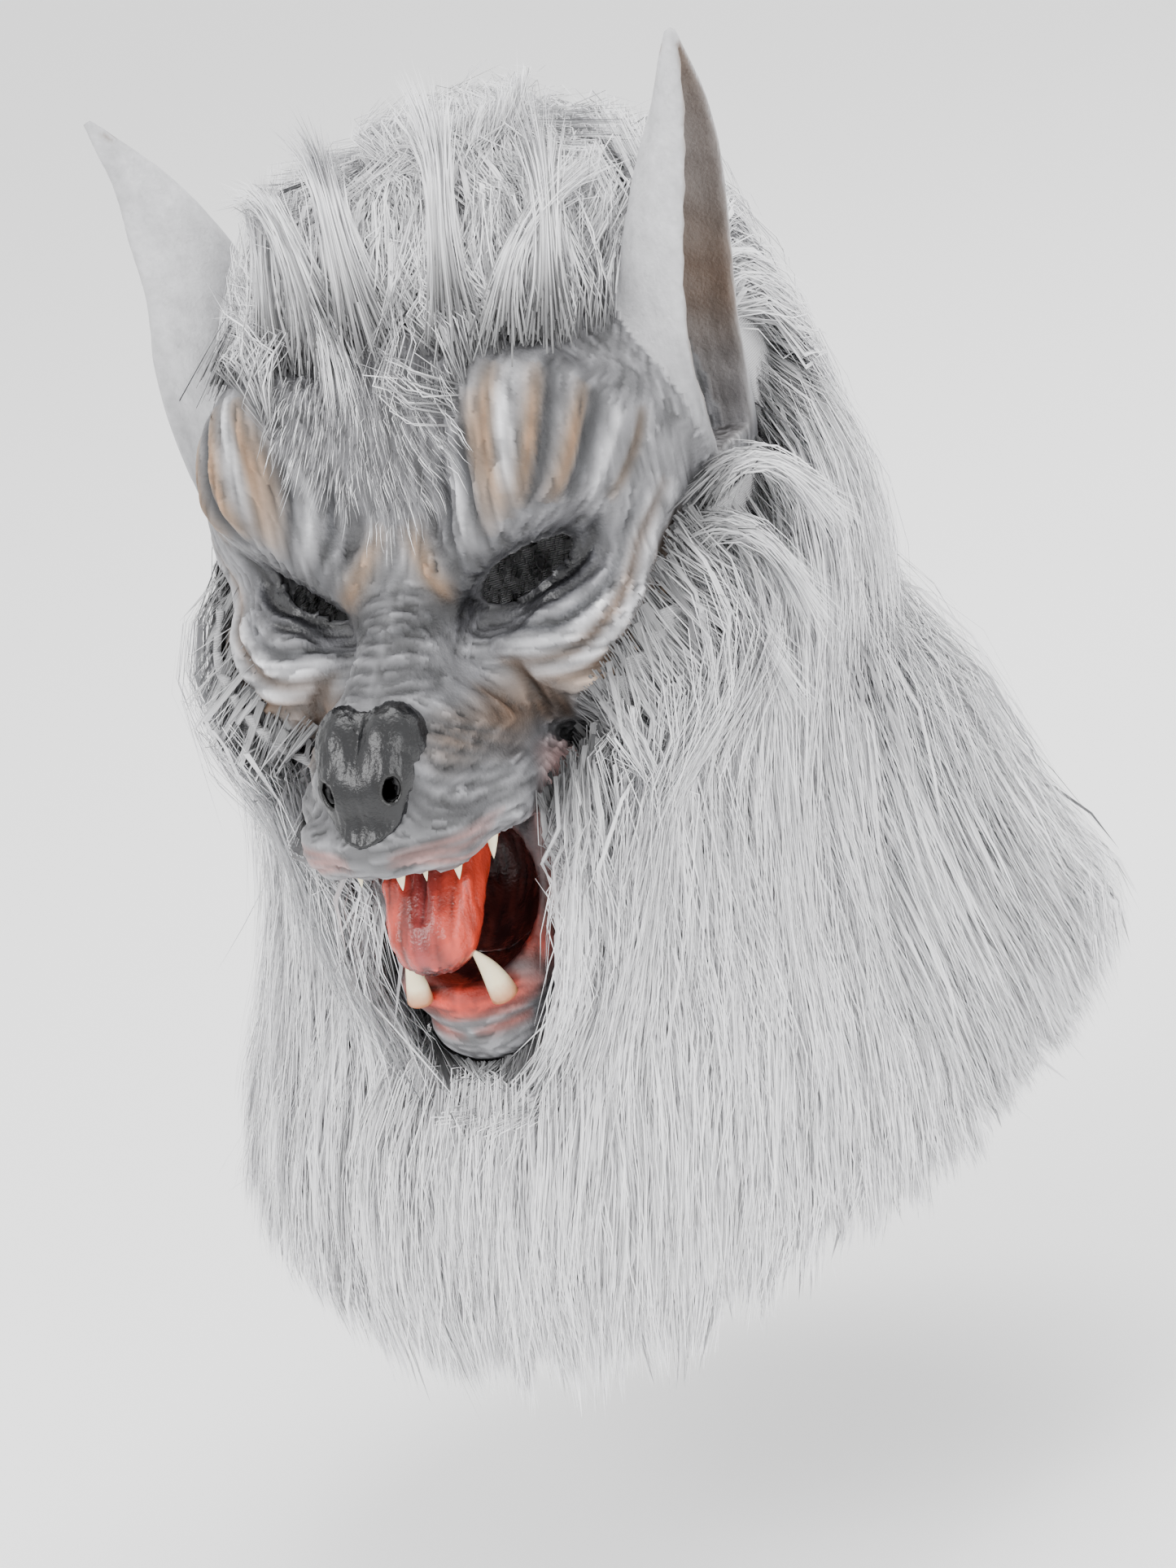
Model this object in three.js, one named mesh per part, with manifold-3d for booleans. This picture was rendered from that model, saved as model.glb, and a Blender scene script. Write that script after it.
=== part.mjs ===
// Werewolf mask: cast latex face and ears, open mouth, and a long-pile fur hood.
// Millimetres, +Z up, the face looks along -Y, the origin is where the crown rests on the head.
import * as THREE from 'three';
import { mergeVertices } from 'three/addons/utils/BufferGeometryUtils.js';
import Module from 'manifold-3d';

const wasm = await Module();
wasm.setup();

// Driving sizes. Every table below holds shares of these three.
const MASK = {
  width: 200,   // across the roots of the ears
  depth: 200,   // front of the forehead to the back of the head
  height: 400,  // crown to the longest fur tips under the chin
};

// Walls and clearances.
const LATEX_WALL = 2.6;
const EAR_WALL = 4.2;
const CLOTH_WALL = 2.5;
const GAP = 0.35;
const SEAT_GAP = 0.8;         // round what is seated on the uneven skin
const EDGE_OVERLAP = 5;       // latex that runs on under the hood's front edge
const HOOD_SLACK = 2.6;       // the cloth stands this far off the skin besides the gap

// Mesh fineness.
const SKIN_CELL = 14.5;
const SKIN_FINE = 9.4;
const LINING_CELL = 8.5;
const NOSE_CELL = 6.5;
const HOOD_ANGLES = [0, 10, 18, 26, 34, 43, 52, 62, 72, 84, 98, 116, 137, 158, 180];
const FUR_COLUMN_ANGLE = 10;

const X = share => share * MASK.width;
const Y = share => share * MASK.depth;
const Z = share => share * MASK.height;
const radians = THREE.MathUtils.degToRad;

// The head form that latex and hood follow: height, half width, front and back.
const FORM = [
  { z: -0.0065, half: 0.010, front: -0.010, back: 0.040 },
  { z: -0.0125, half: 0.110, front: -0.110, back: 0.150 },
  { z: -0.0325, half: 0.220, front: -0.230, back: 0.280 },
  { z: -0.0800, half: 0.325, front: -0.360, back: 0.400 },
  { z: -0.1500, half: 0.395, front: -0.440, back: 0.480 },
  { z: -0.2625, half: 0.430, front: -0.460, back: 0.525 },
  { z: -0.3625, half: 0.425, front: -0.440, back: 0.515 },
  { z: -0.4750, half: 0.400, front: -0.420, back: 0.480 },
  { z: -0.5750, half: 0.420, front: -0.430, back: 0.480 },
  { z: -0.6550, half: 0.470, front: -0.470, back: 0.510 },
  { z: -0.7500, half: 0.560, front: -0.540, back: 0.570 },
  { z: -0.8625, half: 0.670, front: -0.630, back: 0.650 },
].reverse();

// Ellipsoid masses of the face, each mirrored: centre, radii, turns in degrees, soft joint in mm.
const LUMPS = [
  { name: 'brow lobe', x: 0.210, y: -0.370, z: -0.1825, rx: 0.145, ry: 0.120, rz: 0.0900, turn: [14, -24, 4], soft: 9 },
  { name: 'temple', x: 0.320, y: -0.230, z: -0.2400, rx: 0.110, ry: 0.140, rz: 0.1000, turn: [0, 0, 0], soft: 14 },
  { name: 'cheekbone', x: 0.290, y: -0.330, z: -0.3275, rx: 0.120, ry: 0.115, rz: 0.0450, turn: [0, 28, 0], soft: 12 },
  { name: 'cheek', x: 0.200, y: -0.400, z: -0.3500, rx: 0.150, ry: 0.110, rz: 0.0550, turn: [0, 30, 0], soft: 14 },
  { name: 'muzzle', x: 0.000, y: -0.500, z: -0.3975, rx: 0.170, ry: 0.300, rz: 0.0650, turn: [0, 0, 0], soft: 10 },
  { name: 'jaw', x: 0.000, y: -0.420, z: -0.5550, rx: 0.180, ry: 0.150, rz: 0.1100, turn: [0, 0, 0], soft: 12 },
  { name: 'chin', x: 0.000, y: -0.520, z: -0.6325, rx: 0.105, ry: 0.095, rz: 0.0375, turn: [0, 0, 0], soft: 8 },
];

// Rolls of the face, each mirrored: two ends, a radius at each end as a share of the width.
const ROLLS = [
  { name: 'brow roll', a: [0.250, -0.430, -0.1950], b: [0.105, -0.460, -0.2675], ra: 0.0750, rb: 0.0550, soft: 9 },
  { name: 'bridge', a: [0.000, -0.420, -0.2900], b: [0.000, -0.640, -0.3625], ra: 0.1000, rb: 0.0600, soft: 12 },
  { name: 'front lip', a: [0.020, -0.775, -0.4425], b: [0.095, -0.725, -0.4425], ra: 0.0450, rb: 0.0450, soft: 7 },
  { name: 'side lip', a: [0.095, -0.725, -0.4425], b: [0.145, -0.600, -0.4325], ra: 0.0450, rb: 0.0450, soft: 8 },
  { name: 'lip corner', a: [0.145, -0.600, -0.4325], b: [0.180, -0.480, -0.4450], ra: 0.0450, rb: 0.0500, soft: 9 },
  { name: 'jaw side', a: [0.185, -0.440, -0.4550], b: [0.140, -0.460, -0.5350], ra: 0.0400, rb: 0.0450, soft: 9 },
  { name: 'jaw front', a: [0.140, -0.460, -0.5350], b: [0.085, -0.550, -0.5950], ra: 0.0400, rb: 0.0350, soft: 7 },
  { name: 'lower lip', a: [0.085, -0.555, -0.5950], b: [0.015, -0.590, -0.6075], ra: 0.0375, rb: 0.0375, soft: 7 },
];

// Hollows pressed into the face: the two stretches of the mouth and the eye sockets.
const THROAT = { x: 0, y: -0.570, z: -0.5250, rx: 0.130, ry: 0.230, rz: 0.0675, turn: [0, 0, 0] };
const GAPE = { x: 0, y: -0.750, z: -0.5175, rx: 0.150, ry: 0.200, rz: 0.0500, turn: [14, 0, 0] };
const SOCKET = { x: 0.200, y: -0.505, z: -0.2850, rx: 0.125, ry: 0.065, rz: 0.0250, turn: [0, -33, -20] };
const EYE_HOLE = { x: 0.190, y: -0.450, z: -0.2800, rx: 0.082, ry: 0.110, rz: 0.0150, turn: [0, -34, -20] };
const NOSTRIL = { x: 0.028, y: -0.765, z: -0.3950, rx: 0.011, ry: 0.110, rz: 0.0080, turn: [0, 20, 0] };
const MOUTH_SEAM = -0.490;    // the lining starts behind this share of the depth
const EYE_HOLE_SIDES = 10;
const NOSTRIL_SIDES = 6;

// The front edge of the hood seen from the front: height and half width of its opening.
const OPENING = [
  { z: -0.0900, half: 0.000 },
  { z: -0.0975, half: 0.190 },
  { z: -0.1100, half: 0.330 },
  { z: -0.1300, half: 0.490 },
  { z: -0.2425, half: 0.490 },
  { z: -0.2625, half: 0.410 },
  { z: -0.2950, half: 0.375 },
  { z: -0.3225, half: 0.350 },
  { z: -0.3500, half: 0.305 },
  { z: -0.3800, half: 0.255 },
  { z: -0.4125, half: 0.215 },
  { z: -0.4750, half: 0.190 },
  { z: -0.5875, half: 0.165 },
  { z: -0.6550, half: 0.105 },
  { z: -0.6725, half: 0.000 },
];
const OPENING_BACK = -0.030;  // the opening ends here beside the ears
const LATEX_BACK = 0.010;     // the latex ends here behind the ears

// The left ear in level sections: centre of its open side, half width, depth, and the
// outward lean that the right ear has besides.
const EAR = [
  { z: -0.2800, x: 0.390, y: -0.090, half: 0.040, depth: 0.060, lean: 0.000 },
  { z: -0.2550, x: 0.425, y: -0.100, half: 0.085, depth: 0.100, lean: 0.010 },
  { z: -0.2050, x: 0.448, y: -0.115, half: 0.110, depth: 0.140, lean: 0.020 },
  { z: -0.1500, x: 0.455, y: -0.115, half: 0.123, depth: 0.150, lean: 0.028 },
  { z: -0.1000, x: 0.465, y: -0.110, half: 0.125, depth: 0.150, lean: 0.020 },
  { z: -0.0500, x: 0.480, y: -0.105, half: 0.113, depth: 0.132, lean: 0.000 },
  { z: 0.0000, x: 0.495, y: -0.103, half: 0.088, depth: 0.105, lean: 0.005 },
  { z: 0.0450, x: 0.503, y: -0.110, half: 0.055, depth: 0.065, lean: 0.015 },
  { z: 0.0800, x: 0.505, y: -0.125, half: 0.025, depth: 0.035, lean: 0.040 },
  { z: 0.0975, x: 0.503, y: -0.130, half: 0.010, depth: 0.015, lean: 0.055 },
];
const EAR_ARC = 7;            // steps round the closed side of an ear section
const EAR_SCOOP_FROM = 1;     // the hollow runs from this row
const EAR_SCOOP_TO = 8;       // to this one
const EAR_RIM = 1.5;          // thickness of the rim outside the section's arc
const EAR_LEAST = 0.4;        // no section is smaller than this

// Nose pad: an upper lobe and a lower taper, each mirrored.
const NOSE_LOBE = { x: 0.040, y: -0.7150, z: -0.3725, rx: 0.052, ry: 0.065, rz: 0.0375, turn: [-20, 0, -14] };
const NOSE_TAPER = { a: [0.034, -0.750, -0.3925], b: [0.006, -0.780, -0.4325], ra: 0.0450, rb: 0.0250, soft: 5 };

// Tongue from the root to the tip: place, half width and half thickness.
const TONGUE = [
  { y: -0.390, z: -0.4750, half: 0.050, thick: 0.025 },
  { y: -0.480, z: -0.4800, half: 0.065, thick: 0.030 },
  { y: -0.560, z: -0.4850, half: 0.080, thick: 0.034 },
  { y: -0.620, z: -0.5100, half: 0.080, thick: 0.034 },
  { y: -0.655, z: -0.5400, half: 0.070, thick: 0.032 },
  { y: -0.670, z: -0.5600, half: 0.045, thick: 0.024 },
];
const TONGUE_SIDES = 10;
const TONGUE_GROOVE = 0.35;   // depth of the centre groove, a share of the half thickness

// Teeth: root, tip and root radius.
const TEETH = [
  { name: 'fang_lower_left', root: [0.075, -0.617, -0.5950], tip: [0.060, -0.651, -0.5585], radius: 0.0250 },
  { name: 'fang_lower_right', root: [-0.075, -0.617, -0.5950], tip: [-0.060, -0.651, -0.5585], radius: 0.0250 },
  { name: 'tooth_upper_1', root: [-0.055, -0.745, -0.4500], tip: [-0.055, -0.752, -0.4725], radius: 0.0100 },
  { name: 'tooth_upper_2', root: [0.018, -0.755, -0.4500], tip: [0.018, -0.760, -0.4765], radius: 0.0135 },
  { name: 'tooth_upper_3', root: [0.055, -0.740, -0.4500], tip: [0.055, -0.745, -0.4735], radius: 0.0100 },
  { name: 'tooth_upper_4', root: [0.097, -0.710, -0.4500], tip: [0.095, -0.715, -0.4785], radius: 0.0150 },
  { name: 'tooth_upper_5', root: [0.135, -0.645, -0.4450], tip: [0.130, -0.652, -0.4735], radius: 0.0140 },
];
const TOOTH_SIDES = 6;

// Fur depth over the hood by height: at the face edge, at the sides and at the back.
const FUR_DEPTH = [
  { z: -0.0065, front: 0.145, side: 0.145, back: 0.150 },
  { z: -0.0750, front: 0.090, side: 0.120, back: 0.140 },
  { z: -0.2000, front: 0.060, side: 0.150, back: 0.160 },
  { z: -0.3625, front: 0.070, side: 0.200, back: 0.170 },
  { z: -0.5125, front: 0.075, side: 0.195, back: 0.185 },
  { z: -0.6550, front: 0.085, side: 0.175, back: 0.195 },
  { z: -0.7500, front: 0.090, side: 0.150, back: 0.180 },
  { z: -0.7950, front: 0.085, side: 0.125, back: 0.150 },
  { z: -0.8700, front: 0.060, side: 0.075, back: 0.080 },
  { z: -1.0000, front: 0.015, side: 0.020, back: 0.020 },
].reverse();

// Longest lock tips round the hem by angle from the front.
const FUR_TIPS = [
  { angle: 0, z: -0.975 },
  { angle: 25, z: -0.960 },
  { angle: 50, z: -0.895 },
  { angle: 90, z: -0.840 },
  { angle: 180, z: -0.855 },
];

// Lower edge of the crown fur by angle from the front, a share of the height.
const CROWN_EDGE = [
  { angle: 0, z: -0.220 },
  { angle: 10, z: -0.190 },
  { angle: 20, z: -0.138 },
  { angle: 40, z: -0.126 },
  { angle: 60, z: -0.135 },
  { angle: 85, z: -0.150 },
  { angle: 110, z: -0.175 },
  { angle: 180, z: -0.180 },
];
const HEM = -0.795;           // lower edge of the cloth
const EQUATOR = -0.175;       // rays are level below this height and fan out above it
const LOCK_VALLEY = 0.74;     // fur depth between two locks, a share of the depth on them
const FACE_EDGE_DEPTH = 0.035;
const FUR_SEAM_BACK = 125;    // angle of the seam between a side panel and the back one
const BEARD_ANGLE = 18;
const BEARD_TOP = -0.6900;
const EDGE_LOWEST = -0.6200;  // below this height a side panel's edge keeps its angle
const EDGE_STEP = 4;          // heights between which a side panel's edge angle is worked out
const ROOT_DEPTH = 2.4;       // fur is drawn this far into the cloth, then cut clear of it
const LOCK_TIP = 2.6;         // least thickness of a lock
const EAR_CLEAR = 0.1;        // cloth and fur stand this much more than the gap off the ears
const CUT_PAST = 1.4;         // a cutter runs this far past what it cuts
const FUR_SETBACK = 2;        // fur roots start this far behind the cloth's front edge
const FUR_SEAM = 2.2;         // the crown fur ends this far above the panels under it
const SEAM = 0.30;            // half angle left free at a seam, degrees
const TIP_START = 0.12;       // share of a lock's depth left at its very tip
const NOTCH_DROP = 6;         // the hem's notches between locks lie this far under the cloth
const BEARD_NOTCH_DROP = 14;  // and these between the locks of the beard

// Colours, roughness and metalness.
const FINISH = {
  latex: { color: 0xa9a8a6, roughness: 0.55, metalness: 0 },
  mouth: { color: 0x5a2320, roughness: 0.35, metalness: 0 },
  nose: { color: 0x35373b, roughness: 0.25, metalness: 0 },
  tongue: { color: 0xb2402f, roughness: 0.35, metalness: 0 },
  tooth: { color: 0xe6dcc0, roughness: 0.35, metalness: 0 },
  cloth: { color: 0x8d8d90, roughness: 0.9, metalness: 0 },
  fur: { color: 0xe6e6e8, roughness: 0.8, metalness: 0 },
};

// Smooth curve through a table's rows: value of one column at a place along another.
function along(rows, key, at, column) {
  const last = rows.length - 1;
  const t = Math.min(Math.max(at, rows[0][key]), rows[last][key]);
  let i = 0;
  while (i < last - 1 && rows[i + 1][key] < t) i += 1;
  const slope = k => {
    const low = Math.max(k - 1, 0);
    const high = Math.min(k + 1, last);
    return (rows[high][column] - rows[low][column]) / (rows[high][key] - rows[low][key]);
  };
  const step = rows[i + 1][key] - rows[i][key];
  const s = (t - rows[i][key]) / step;
  const a = rows[i][column];
  const b = rows[i + 1][column];
  return a * (2 * s ** 3 - 3 * s ** 2 + 1) + step * slope(i) * (s ** 3 - 2 * s ** 2 + s)
    + b * (3 * s ** 2 - 2 * s ** 3) + step * slope(i + 1) * (s ** 3 - s ** 2);
}

const smoothMin = (a, b, soft) => {
  const h = Math.min(Math.max(0.5 + 0.5 * (b - a) / soft, 0), 1);
  return b * (1 - h) + a * h - soft * h * (1 - h);
};
const smoothMax = (a, b, soft) => -smoothMin(-a, -b, soft);

// Distance to an ellipsoid given as shares.
function ellipsoidField(e) {
  const turn = new THREE.Euler(...e.turn.map(radians), 'ZYX');
  const m = new THREE.Matrix4().makeRotationFromEuler(turn).elements;
  const [cx, cy, cz] = [X(e.x), Y(e.y), Z(e.z)];
  const [rx, ry, rz] = [X(e.rx), Y(e.ry), Z(e.rz)];
  return (x, y, z) => {
    const [dx, dy, dz] = [x - cx, y - cy, z - cz];
    const u = (dx * m[0] + dy * m[1] + dz * m[2]) / rx;
    const v = (dx * m[4] + dy * m[5] + dz * m[6]) / ry;
    const w = (dx * m[8] + dy * m[9] + dz * m[10]) / rz;
    const k = Math.hypot(u, v, w);
    return k * (k - 1) / (Math.hypot(u / rx, v / ry, w / rz) + 1e-9);
  };
}

// Distance to a tapered roll given as shares.
function rollField(r) {
  const a = [X(r.a[0]), Y(r.a[1]), Z(r.a[2])];
  const d = [X(r.b[0]) - a[0], Y(r.b[1]) - a[1], Z(r.b[2]) - a[2]];
  const square = d[0] ** 2 + d[1] ** 2 + d[2] ** 2;
  return (x, y, z) => {
    const [px, py, pz] = [x - a[0], y - a[1], z - a[2]];
    const t = Math.min(Math.max((px * d[0] + py * d[1] + pz * d[2]) / square, 0), 1);
    return Math.hypot(px - t * d[0], py - t * d[1], pz - t * d[2]) - X(r.ra + (r.rb - r.ra) * t);
  };
}

// Distance to the plain head form.
const FORM_CENTRE = 0.3;      // the sections' centre lies this share of the way to their middle
function formField(x, y, z) {
  const at = z / MASK.height;
  const half = X(along(FORM, 'z', at, 'half'));
  const front = Y(along(FORM, 'z', at, 'front'));
  const back = Y(along(FORM, 'z', at, 'back'));
  const middle = FORM_CENTRE * (front + back) / 2;
  const reach = y < middle ? middle - front : back - middle;
  const q = Math.hypot(x / half, (y - middle) / reach);
  const slope = Math.hypot(x / half ** 2, (y - middle) / reach ** 2) + 1e-6;
  return Math.max(q * (q - 1) / slope, z - Z(FORM[FORM.length - 1].z));
}

// Outer skin of the whole head without and with its hollows.
const MIRROR_ROUNDING = 2;    // rounds the mirror plane off
const lumpFields = LUMPS.map(e => ({ field: ellipsoidField(e), soft: e.soft }));
const rollFields = ROLLS.map(r => ({ field: rollField(r), soft: r.soft }));
const throatField = ellipsoidField(THROAT);
const gapeField = ellipsoidField(GAPE);
const socketField = ellipsoidField(SOCKET);
const HOLLOW_SOFT = 3;
const MOUTH_SOFT = 6;

function skinField(x, y, z) {
  const side = Math.hypot(x, MIRROR_ROUNDING);
  let d = formField(side, y, z);
  for (const part of lumpFields) d = smoothMin(d, part.field(side, y, z), part.soft);
  for (const part of rollFields) d = smoothMin(d, part.field(side, y, z), part.soft);
  return d;
}
const mouthField = (x, y, z) => smoothMin(throatField(x, y, z), gapeField(x, y, z), MOUTH_SOFT);
function faceField(x, y, z) {
  const side = Math.hypot(x, MIRROR_ROUNDING);
  const d = smoothMax(skinField(x, y, z), -mouthField(side, y, z), HOLLOW_SOFT);
  return smoothMax(d, -socketField(side, y, z), HOLLOW_SOFT);
}

// A closed geometry from points and triangles.
function closedGeometry(points, triangles) {
  const geometry = new THREE.BufferGeometry();
  geometry.setAttribute('position', new THREE.Float32BufferAttribute(points.flat(), 3));
  geometry.setIndex(triangles.flat());
  return geometry;
}

// Grid lines between two ends, closer together in a fine stretch.
const RIM_VALUE = 0.8;        // the field at the box's own sides, so that the mesh closes there
const PROBE = 0.3;            // step of the field's slope
const REACH = 0.35;           // how far a vertex may move, a share of its cell
function gridLines(low, high, { cell, fine = cell, from = low, to = low }) {
  const lines = [low];
  while (lines[lines.length - 1] < high) {
    const last = lines[lines.length - 1];
    lines.push(last + (last >= from && last < to ? fine : cell));
  }
  return lines;
}

// Mesh of a field's zero surface inside a box, with a vertex in each crossed cell drawn onto it.
function fieldGeometry(field, low, high, cells) {
  const lines = low.map((v, k) => gridLines(v, high[k], cells[k]));
  const n = lines.map(list => list.length);
  const at = (i, j, k) => (i * n[1] + j) * n[2] + k;
  const place = (i, k) => {
    const whole = Math.min(Math.floor(i), n[k] - 2);
    return lines[k][whole] + (i - whole) * (lines[k][whole + 1] - lines[k][whole]);
  };
  const value = new Float64Array(n[0] * n[1] * n[2]);
  for (let i = 0; i < n[0]; i += 1) {
    for (let j = 0; j < n[1]; j += 1) {
      for (let k = 0; k < n[2]; k += 1) {
        const rim = i === 0 || j === 0 || k === 0 || i === n[0] - 1 || j === n[1] - 1 || k === n[2] - 1;
        const d = field(place(i, 0), place(j, 1), place(k, 2));
        value[at(i, j, k)] = rim ? Math.max(d, RIM_VALUE) : d;
      }
    }
  }
  const points = [];
  const found = new Map();
  const corners = [[0, 0, 0], [1, 0, 0], [0, 1, 0], [1, 1, 0], [0, 0, 1], [1, 0, 1], [0, 1, 1], [1, 1, 1]];
  const edges = [[0, 1], [2, 3], [4, 5], [6, 7], [0, 2], [1, 3], [4, 6], [5, 7], [0, 4], [1, 5], [2, 6], [3, 7]];
  // The vertex of a cell for the piece of the solid that holds one of its inside corners.
  const vertex = (cellAt, inside) => {
    const [i, j, k] = cellAt;
    const v = corners.map(c => value[at(i + c[0], j + c[1], k + c[2])]);
    const group = corners.map((c, m) => m);
    for (let round = 0; round < 3; round += 1) {
      for (const [p, q] of edges) {
        if (v[p] < 0 && v[q] < 0) group[p] = group[q] = Math.min(group[p], group[q]);
      }
    }
    const mine = group[(inside[0] - i) + 2 * (inside[1] - j) + 4 * (inside[2] - k)];
    const key = at(i, j, k) * 8 + mine;
    if (found.has(key)) return found.get(key);
    let [sx, sy, sz, count] = [0, 0, 0, 0];
    for (const [p, q] of edges) {
      if (v[p] < 0 === v[q] < 0 || group[v[p] < 0 ? p : q] !== mine) continue;
      const t = v[p] / (v[p] - v[q]);
      sx += corners[p][0] + t * (corners[q][0] - corners[p][0]);
      sy += corners[p][1] + t * (corners[q][1] - corners[p][1]);
      sz += corners[p][2] + t * (corners[q][2] - corners[p][2]);
      count += 1;
    }
    const start = [place(i + sx / count, 0), place(j + sy / count, 1), place(k + sz / count, 2)];
    const p = [...start];
    const size = [0, 1, 2].map(a => place([i, j, k][a] + 1, a) - place([i, j, k][a], a));
    for (let round = 0; round < 3; round += 1) {
      const d = field(...p);
      const g = [0, 1, 2].map(a => {
        const q = [...p];
        q[a] += PROBE;
        return (field(...q) - d) / PROBE;
      });
      const square = g[0] ** 2 + g[1] ** 2 + g[2] ** 2 + 1e-9;
      for (const a of [0, 1, 2]) {
        const move = p[a] - d * g[a] / square;
        p[a] = Math.min(Math.max(move, start[a] - REACH * size[a]), start[a] + REACH * size[a]);
      }
    }
    points.push(p);
    found.set(key, points.length - 1);
    return points.length - 1;
  };
  const triangles = [];
  // Four cells round each crossed grid edge, in order round it.
  const around = [
    [[0, -1, -1], [0, 0, -1], [0, 0, 0], [0, -1, 0]],
    [[-1, 0, -1], [-1, 0, 0], [0, 0, 0], [0, 0, -1]],
    [[-1, -1, 0], [0, -1, 0], [0, 0, 0], [-1, 0, 0]],
  ];
  for (let i = 0; i < n[0] - 1; i += 1) {
    for (let j = 0; j < n[1] - 1; j += 1) {
      for (let k = 0; k < n[2] - 1; k += 1) {
        const here = value[at(i, j, k)] < 0;
        for (const axis of [0, 1, 2]) {
          const next = [i, j, k];
          next[axis] += 1;
          if (here === value[at(...next)] < 0) continue;
          const inside = here ? [i, j, k] : next;
          const [a, b, c, d] = around[axis].map(o => vertex([i + o[0], j + o[1], k + o[2]], inside));
          if (here) triangles.push([a, b, c], [a, c, d]);
          else triangles.push([a, c, b], [a, d, c]);
        }
      }
    }
  }
  return closedGeometry(points, triangles);
}

// Closed geometry through equal rings of points, capped at both ends.
function loftGeometry(rings) {
  const points = rings.flat();
  const n = rings[0].length;
  const triangles = [];
  for (let r = 0; r < rings.length - 1; r += 1) {
    for (let i = 0; i < n; i += 1) {
      const a = r * n + i;
      const b = r * n + (i + 1) % n;
      triangles.push([a, b, b + n], [a, b + n, a + n]);
    }
  }
  for (const [first, flip] of [[0, true], [(rings.length - 1) * n, false]]) {
    const ring = points.slice(first, first + n);
    const centre = [0, 1, 2].map(k => ring.reduce((sum, p) => sum + p[k], 0) / n);
    points.push(centre);
    const tip = points.length - 1;
    for (let i = 0; i < n; i += 1) {
      const a = first + i;
      const b = first + (i + 1) % n;
      triangles.push(flip ? [b, a, tip] : [a, b, tip]);
    }
  }
  return closedGeometry(points, triangles);
}

// A solid for joining and cutting, whichever way round the triangles were laid.
function solid(geometry) {
  const plain = geometry.clone();
  for (const name of Object.keys(plain.attributes)) {
    if (name !== 'position') plain.deleteAttribute(name);
  }
  const merged = mergeVertices(plain, 1e-5);
  const make = index => new wasm.Manifold(new wasm.Mesh({
    numProp: 3,
    vertProperties: new Float32Array(merged.attributes.position.array),
    triVerts: index,
  }));
  const index = Uint32Array.from(merged.index.array);
  const made = make(index);
  if (made.volume() > 0) return made;
  for (let i = 0; i < index.length; i += 3) [index[i], index[i + 1]] = [index[i + 1], index[i]];
  return make(index);
}

function geometryOf(manifold) {
  const mesh = manifold.getMesh();
  const geometry = new THREE.BufferGeometry();
  const points = [];
  for (let i = 0; i < mesh.numVert; i += 1) {
    for (let k = 0; k < 3; k += 1) points.push(mesh.vertProperties[i * mesh.numProp + k]);
  }
  geometry.setAttribute('position', new THREE.Float32BufferAttribute(points, 3));
  geometry.setIndex([...mesh.triVerts]);
  return geometry;
}

// The largest of a solid's loose bodies, so that slivers left by a cut drop out.
function largest(manifold) {
  const bodies = manifold.decompose();
  return bodies.reduce((a, b) => (b.volume() > a.volume() ? b : a));
}

// A prism through a front-view outline, from one depth to another.
function outlinePrism(rows, margin, front, back) {
  const shape = new THREE.Shape();
  const grown = rows.map((row, i) => {
    const end = i === 0 ? 1 : i === rows.length - 1 ? -1 : 0;
    const half = end ? 0 : X(row.half) + margin;
    const lift = i < 3 ? 1 : i > rows.length - 3 ? -1 : 0;
    return [half, Z(row.z) + margin * lift];
  });
  shape.moveTo(0, grown[0][1]);
  for (const [half, z] of grown.slice(1, -1)) shape.lineTo(half, z);
  shape.lineTo(0, grown[grown.length - 1][1]);
  for (const [half, z] of grown.slice(1, -1).reverse()) shape.lineTo(-half, z);
  const geometry = new THREE.ExtrudeGeometry(shape, { depth: back - front, bevelEnabled: false });
  geometry.rotateX(Math.PI / 2);
  geometry.translate(0, back, 0);
  return solid(geometry);
}

// An ellipsoid given as shares, grown by a margin, for one side.
function ellipsoidSolid(e, side, sides, margin = 0) {
  const geometry = new THREE.SphereGeometry(1, sides, Math.max(6, sides / 2));
  const radii = [X(e.rx) + margin, Y(e.ry) + margin, Z(e.rz) + margin];
  const m = new THREE.Matrix4().makeRotationFromEuler(new THREE.Euler(...e.turn.map(radians), 'ZYX'));
  geometry.scale(...radii).applyMatrix4(m).translate(X(e.x), Y(e.y), Z(e.z));
  if (side < 0) geometry.scale(-1, 1, 1);
  return solid(geometry);
}

// Skin: the region that holds all the latex, a little past its edges.
const SKIN_LOW = [-X(0.56), Y(-0.93), Z(-0.76)];
const SKIN_HIGH = [X(0.56), Y(0.12), Z(0.03)];
const SKIN_CELLS = [
  { cell: SKIN_CELL, fine: SKIN_FINE, from: -X(0.19), to: X(0.17) },
  { cell: SKIN_CELL, fine: SKIN_FINE, from: Y(-1), to: Y(-0.50) },
  { cell: SKIN_CELL, fine: SKIN_FINE, from: Z(-0.64), to: Z(-0.34) },
];
const evenCells = cell => [{ cell }, { cell }, { cell }];
function skinSolid(grow) {
  return solid(fieldGeometry((x, y, z) => faceField(x, y, z) - grow, SKIN_LOW, SKIN_HIGH, SKIN_CELLS));
}
const skinOuter = skinSolid(0);
const skinInner = skinSolid(-LATEX_WALL);
const skinClear = skinSolid(SEAT_GAP);

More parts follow.
